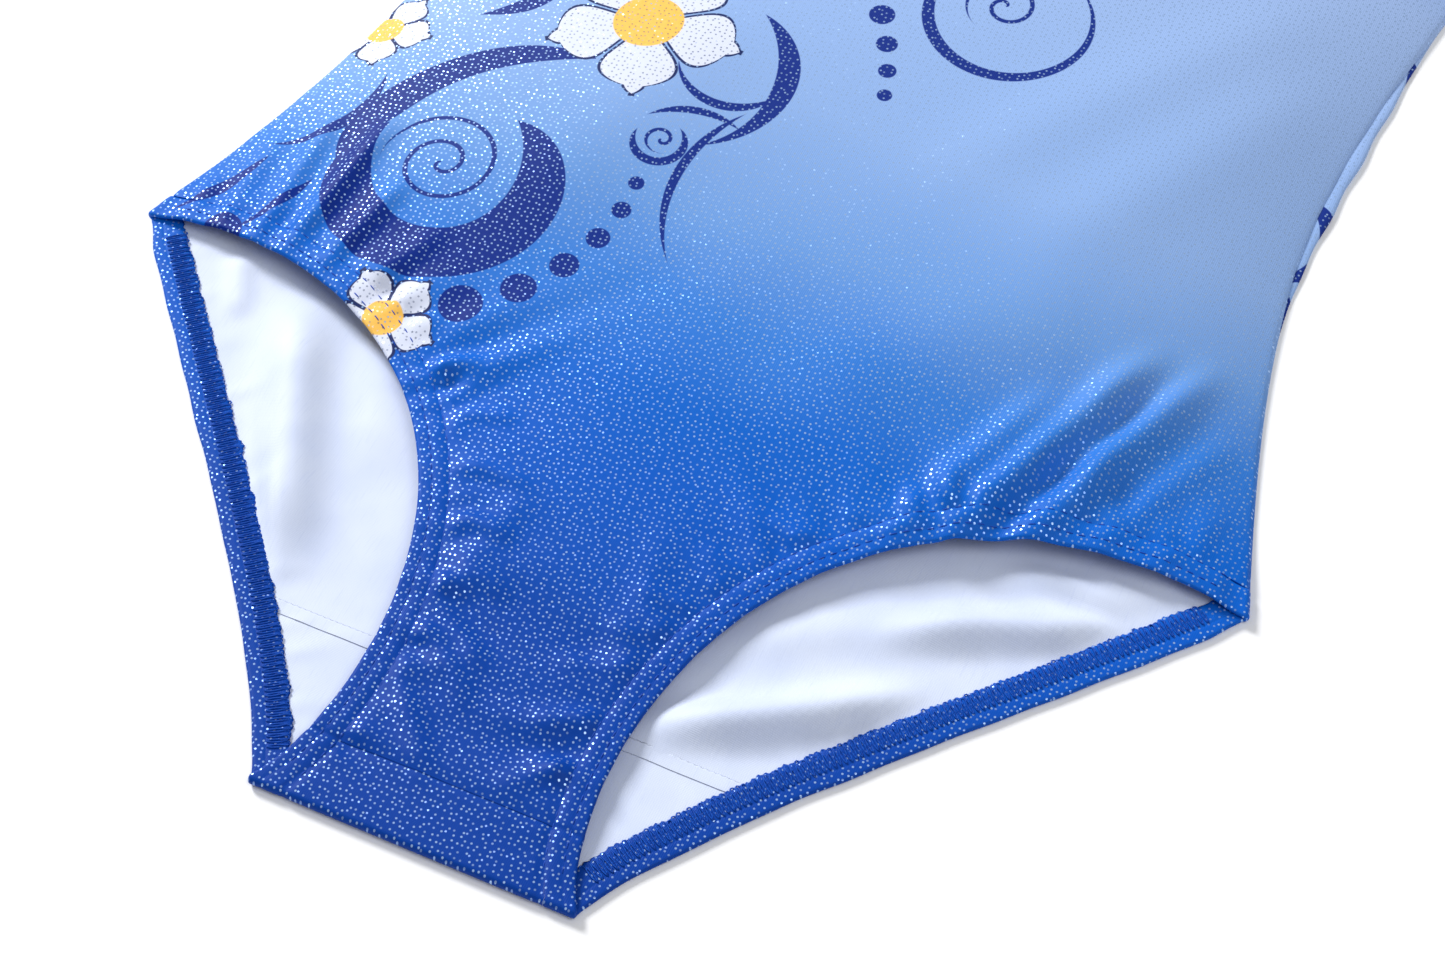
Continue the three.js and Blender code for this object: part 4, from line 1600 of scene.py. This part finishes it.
@dataclass
class SeamStrip:
    """A ribbed overlocked allowance that lies inside a seam."""

    name: str
    node: str
    line: Array
    height: Height
    finish: bpy.types.Material
    low_y: float
    near: float = 1.3
    width: float = 3.4
    thickness: float = 0.22
    rib: float = 1.6

    def build(self) -> bpy.types.Object:
        """Makes the strip: a flat oval carried along the seam, ribbed, with a scalloped free edge."""
        even = evenly(self.line, 0.5)
        into, run = left_of(even), run_of(even)[:, None]
        angle = np.arange(10) * 2 * math.pi / 10
        rib = 0.5 + 0.5 * np.cos(2 * math.pi * run / self.rib)
        ends = smooth(run, 0, 0.8) * (1 - smooth(run, run[-1] - 0.8, run[-1])) * 0.98 + 0.02
        far = self.near + self.width * (0.5 + 0.5 * np.cos(angle)[None] * ends)
        far = far + 0.25 * rib * smooth(far, self.near + self.width * 0.7, self.near + self.width)
        x = even[:, None, 0] + far * into[:, None, 0]
        y = even[:, None, 1] + far * into[:, None, 1]
        lift = self.thickness * (0.5 + 0.5 * np.sin(angle)[None] * ends * (0.8 + 0.3 * rib))
        z = self.height(x, y) + lift
        points = column_points(x, y, z)
        faces = grid_faces(*x.shape, wrap_columns=True)
        piece = write_mesh(self.name, points, cap_ends(faces, len(even), 10), self.low_y)
        dress(piece, "thread", [self.node], self.finish)
        return piece


@dataclass
class SideRoll:
    """The back's cloth where it rolls up past the side seam at the wearer's left waist."""

    drape: Drape
    finishes: Finishes
    low_y: float
    middle: float = 262.0
    reach: float = 56.0
    width: float = 2.5
    height: float = 1.3

    def build(self) -> bpy.types.Object:
        """Makes the roll: an oval along the side seam, widest in its middle and closed at its ends."""
        side = evenly(self.drape.cut.side(), 0.7)
        side = side[np.abs(side[:, 1] - self.middle) < self.reach]
        out = -left_of(side)
        share = ((side[:, 1] - self.middle) / self.reach)[:, None]
        swell = (1 - share**2) ** 1.5 * (1 + 0.12 * np.sin(share * 17)) + 0.002
        angle = np.arange(16)[None] * 2 * math.pi / 16
        far = self.width * swell * (0.5 + 0.5 * np.cos(angle)) - 0.9 * (1 - np.cos(angle)) * np.sqrt(swell)
        z = 0.05 + self.height * np.sqrt(swell) * (0.5 + 0.5 * np.sin(angle))
        x = side[:, None, 0] + far * out[:, None, 0]
        y = side[:, None, 1] + far * out[:, None, 1]
        points = column_points(x, y, z)
        faces = grid_faces(*x.shape, wrap_columns=True)
        quads = cap_ends(faces, len(side), 16)
        roll = write_mesh("left_side_roll", points, quads, self.low_y)
        roll.data.flip_normals()
        dress(roll, "printed_knit", [], self.finishes.back)
        return roll


@dataclass
class CareLabel:
    """A small blank satin label, sewn into the side seam."""

    drape: Drape
    finishes: Finishes
    low_y: float
    height: float = 195.0
    width: float = 20.0
    length: float = 28.0

    def build(self) -> bpy.types.Object:
        """Makes the label: a thin sheet with a slight curl, over the back's inside."""
        edge = float(self.drape.cut.half_width(np.array(self.height))) - 5.5
        u = np.linspace(0, 1, 29)[None, :]
        v = np.linspace(-0.5, 0.5, 21)[:, None]
        x = edge - self.length * u + 0 * v
        y = self.height + self.width * v + 0 * u
        z = self.drape.table_side(x, y) + 0.35 + 0.25 * np.sin(u * 2.6) * (1 + v)
        points = column_points(x, y, z)
        faces = grid_faces(*x.shape)[:, ::-1]
        label = write_mesh("label", points, faces, self.low_y)
        solidify(label, 0.22, 0)
        dress(label, "label", ["care_label"], self.finishes.label)
        return label


# ---------------------------------------------------------------- the room


@dataclass(frozen=True)
class Studio:
    """The table, the lights and the camera."""

    azimuth: float = 24.8
    elevation: float = 53.8
    distance: float = 690.2
    aim: tuple[float, float, float] = (19.2, -155.8, 0)
    lens: float = 75.9

    def camera(self) -> None:
        """Places the camera by its bearing and height round the point it looks at."""
        a, e = math.radians(self.azimuth), math.radians(self.elevation)
        back = Vector((math.sin(a) * math.cos(e), -math.cos(a) * math.cos(e), math.sin(e)))
        lens = bpy.data.cameras.new("camera")
        lens.lens = self.lens
        lens.sensor_width = 36
        lens.clip_start, lens.clip_end = 0.01, 20
        camera = bpy.data.objects.new("camera", lens)
        bpy.context.scene.collection.objects.link(camera)
        camera.location = (Vector(self.aim) + back * self.distance) * MM
        camera.rotation_mode = "QUATERNION"
        camera.rotation_quaternion = (-back).to_track_quat("-Z", "Y")
        bpy.context.scene.camera = camera

    def light(self, name: str, place: Sequence[float], size: tuple[float, float], watts: float) -> None:
        """Adds a rectangular light that looks at the garment's middle."""
        data = bpy.data.lights.new(name, "AREA")
        data.shape = "RECTANGLE"
        data.size, data.size_y = size
        data.energy = watts
        lamp = bpy.data.objects.new(name, data)
        bpy.context.scene.collection.objects.link(lamp)
        lamp.location = place
        towards = Vector((0, -0.12, 0)) - lamp.location
        lamp.rotation_euler = towards.to_track_quat("-Z", "Y").to_euler()

    def build(self, paper: bpy.types.Material) -> None:
        """Makes the table, the lights, the room's own light and the camera."""
        reach = 4000.0
        corners = np.array([(-reach, -reach), (reach, -reach), (reach, reach), (-reach, reach)])
        floor = write_mesh("floor", np.column_stack([corners, np.full(4, -0.15)]), [[0, 1, 2, 3]], 0)
        floor.data.materials.append(paper)
        self.light("window", (-2.3, 1.15, 1.7), (0.8, 1.0), 114)
        self.light("overhead", (0.9, -0.4, 1.7), (1.2, 1.2), 12.5)
        world = bpy.data.worlds.new("room")
        world.use_nodes = True
        sky = world.node_tree.nodes["Background"]
        sky.inputs["Color"].default_value = (0.95, 0.97, 1.0, 1)
        sky.inputs["Strength"].default_value = 0.33
        bpy.context.scene.world = world
        bpy.context.scene.view_settings.view_transform = "Standard"
        self.camera()


# ---------------------------------------------------------------- the whole


def make_hems(cut: Cut, drape: Drape, finishes: Finishes, low_y: float) -> list[bpy.types.Object]:
    """Makes the five hems, with their topstitching and the overlock threads that show."""
    side, hole = cut.side(), cut.armhole()
    along_side = tuple(side[12] - side[0])
    down_side = tuple(side[-12] - side[-1])
    shoulder = cut.shoulder()
    along_shoulder = tuple(shoulder[-1] - shoulder[0])
    out_shoulder = tuple(shoulder[0] - shoulder[-1])
    made = []
    flip = np.array([-1.0, 1.0])
    plans = [
        ("left_leg", cut.front_leg(), cut.back_leg(), (-1.0, 0.0), along_side),
        ("left_armhole", hole, hole, down_side, along_shoulder),
    ]
    for number, (name, front, back, start, end) in enumerate(plans):
        for hand in ("left", "right"):
            right = hand == "right"
            label = name.replace("left", hand)
            edges = [mirror(edge)[::-1] if right else edge for edge in (front, back)]
            sides = [tuple(np.array(side) * flip) for side in (end, start)] if right else [start, end]
            seed = SEED + 300 + number * 10 + right
            elastic = f"{label}_elastic"
            band = Hem(f"{label}_hem", elastic, edges[0], edges[1], *sides, seed, drape, finishes, low_y)
            made.append(band.build())
            Topstitch(f"{label}_stitching", f"{label}_topstitch", edges[0], drape, finishes, low_y).build()
            if number == 0:
                Overlock(f"{label}_overlock", edges[1], drape, finishes, low_y, seed).build()
    edges = [cut.neck(depth) for depth in (cut.front_neck_depth, cut.back_neck_depth)]
    sides = [out_shoulder, tuple(np.array(out_shoulder) * flip)]
    neck = Hem("neck_hem", "neck_elastic", *edges, *sides, SEED + 340, drape, finishes, low_y)
    made.append(neck.build())
    Topstitch("neck_stitching", "neck_topstitch", edges[0], drape, finishes, low_y).build()
    Overlock("neck_overlock", edges[1], drape, finishes, low_y, SEED + 341).build()
    return made


def make_seams(cut: Cut, drape: Drape, finishes: Finishes, low_y: float) -> None:
    """Makes the overlocked allowances inside the side, shoulder and crotch seams."""

    def inside_back(x: Array, y: Array) -> Array:
        """Just over the back's inside."""
        return drape.table_side(x, y) + 0.02

    def under_front(x: Array, y: Array) -> Array:
        """Just under the front's inside."""
        return drape.top(x, y) - drape.cloth - 0.55

    side = cut.side()
    side = side[(side[:, 1] > cut.hip_height + 9) & (side[:, 1] < cut.armpit_height - 9)]
    shoulder = evenly(cut.shoulder(), 1)[9:-9]
    for hand, turn in (("left", False), ("right", True)):
        for name, line in (("side_seam", side), ("shoulder_seam", shoulder)):
            placed = mirror(line)[::-1] if turn else line
            node = f"{hand}_{name}"
            SeamStrip(f"{node}_overlock", node, placed, inside_back, finishes.white_thread, low_y).build()
    for name, seam, leg, height in (
        ("front_crotch_seam", cut.front_crotch_seam, cut.front_leg(), under_front),
        ("back_crotch_seam", cut.back_crotch_seam, cut.back_leg(), inside_back),
    ):
        half = float(np.interp(seam, leg[:, 1], leg[:, 0])) - 8.6
        line = np.array([(-half, seam), (half, seam)])
        strip = SeamStrip(f"{name}_overlock", name, line, height, finishes.lining, low_y)
        strip.near, strip.thickness = -1.7, 0.07
        strip.build()


def main() -> None:
    """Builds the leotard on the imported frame, and the room round it."""
    logging.basicConfig(level=logging.INFO, format="%(message)s")
    low_y = CAD_LOW[1] / MM
    cut = Cut((CAD_HIGH[1] - CAD_LOW[1]) / MM, (CAD_HIGH[0] - CAD_LOW[0]) / MM)
    drape = Drape(cut, (CAD_HIGH[2] - CAD_LOW[2]) / MM - 2.7)
    finishes = make_finishes(low_y, cut.length)
    front, back = Panels(cut, drape, finishes, low_y).build()
    gusset, lining = Gusset(cut, drape, finishes, low_y).build()
    hems = make_hems(cut, drape, finishes, low_y)
    make_seams(cut, drape, finishes, low_y)
    roll = SideRoll(drape, finishes, low_y).build()
    label = CareLabel(drape, finishes, low_y).build()
    front_area = flat_area(cut.outline(cut.front_leg(), cut.front_neck_depth))
    back_area = flat_area(cut.outline(cut.back_leg(), cut.back_neck_depth))
    Studio().build(finishes.paper)


if __name__ == "__main__":
    main()
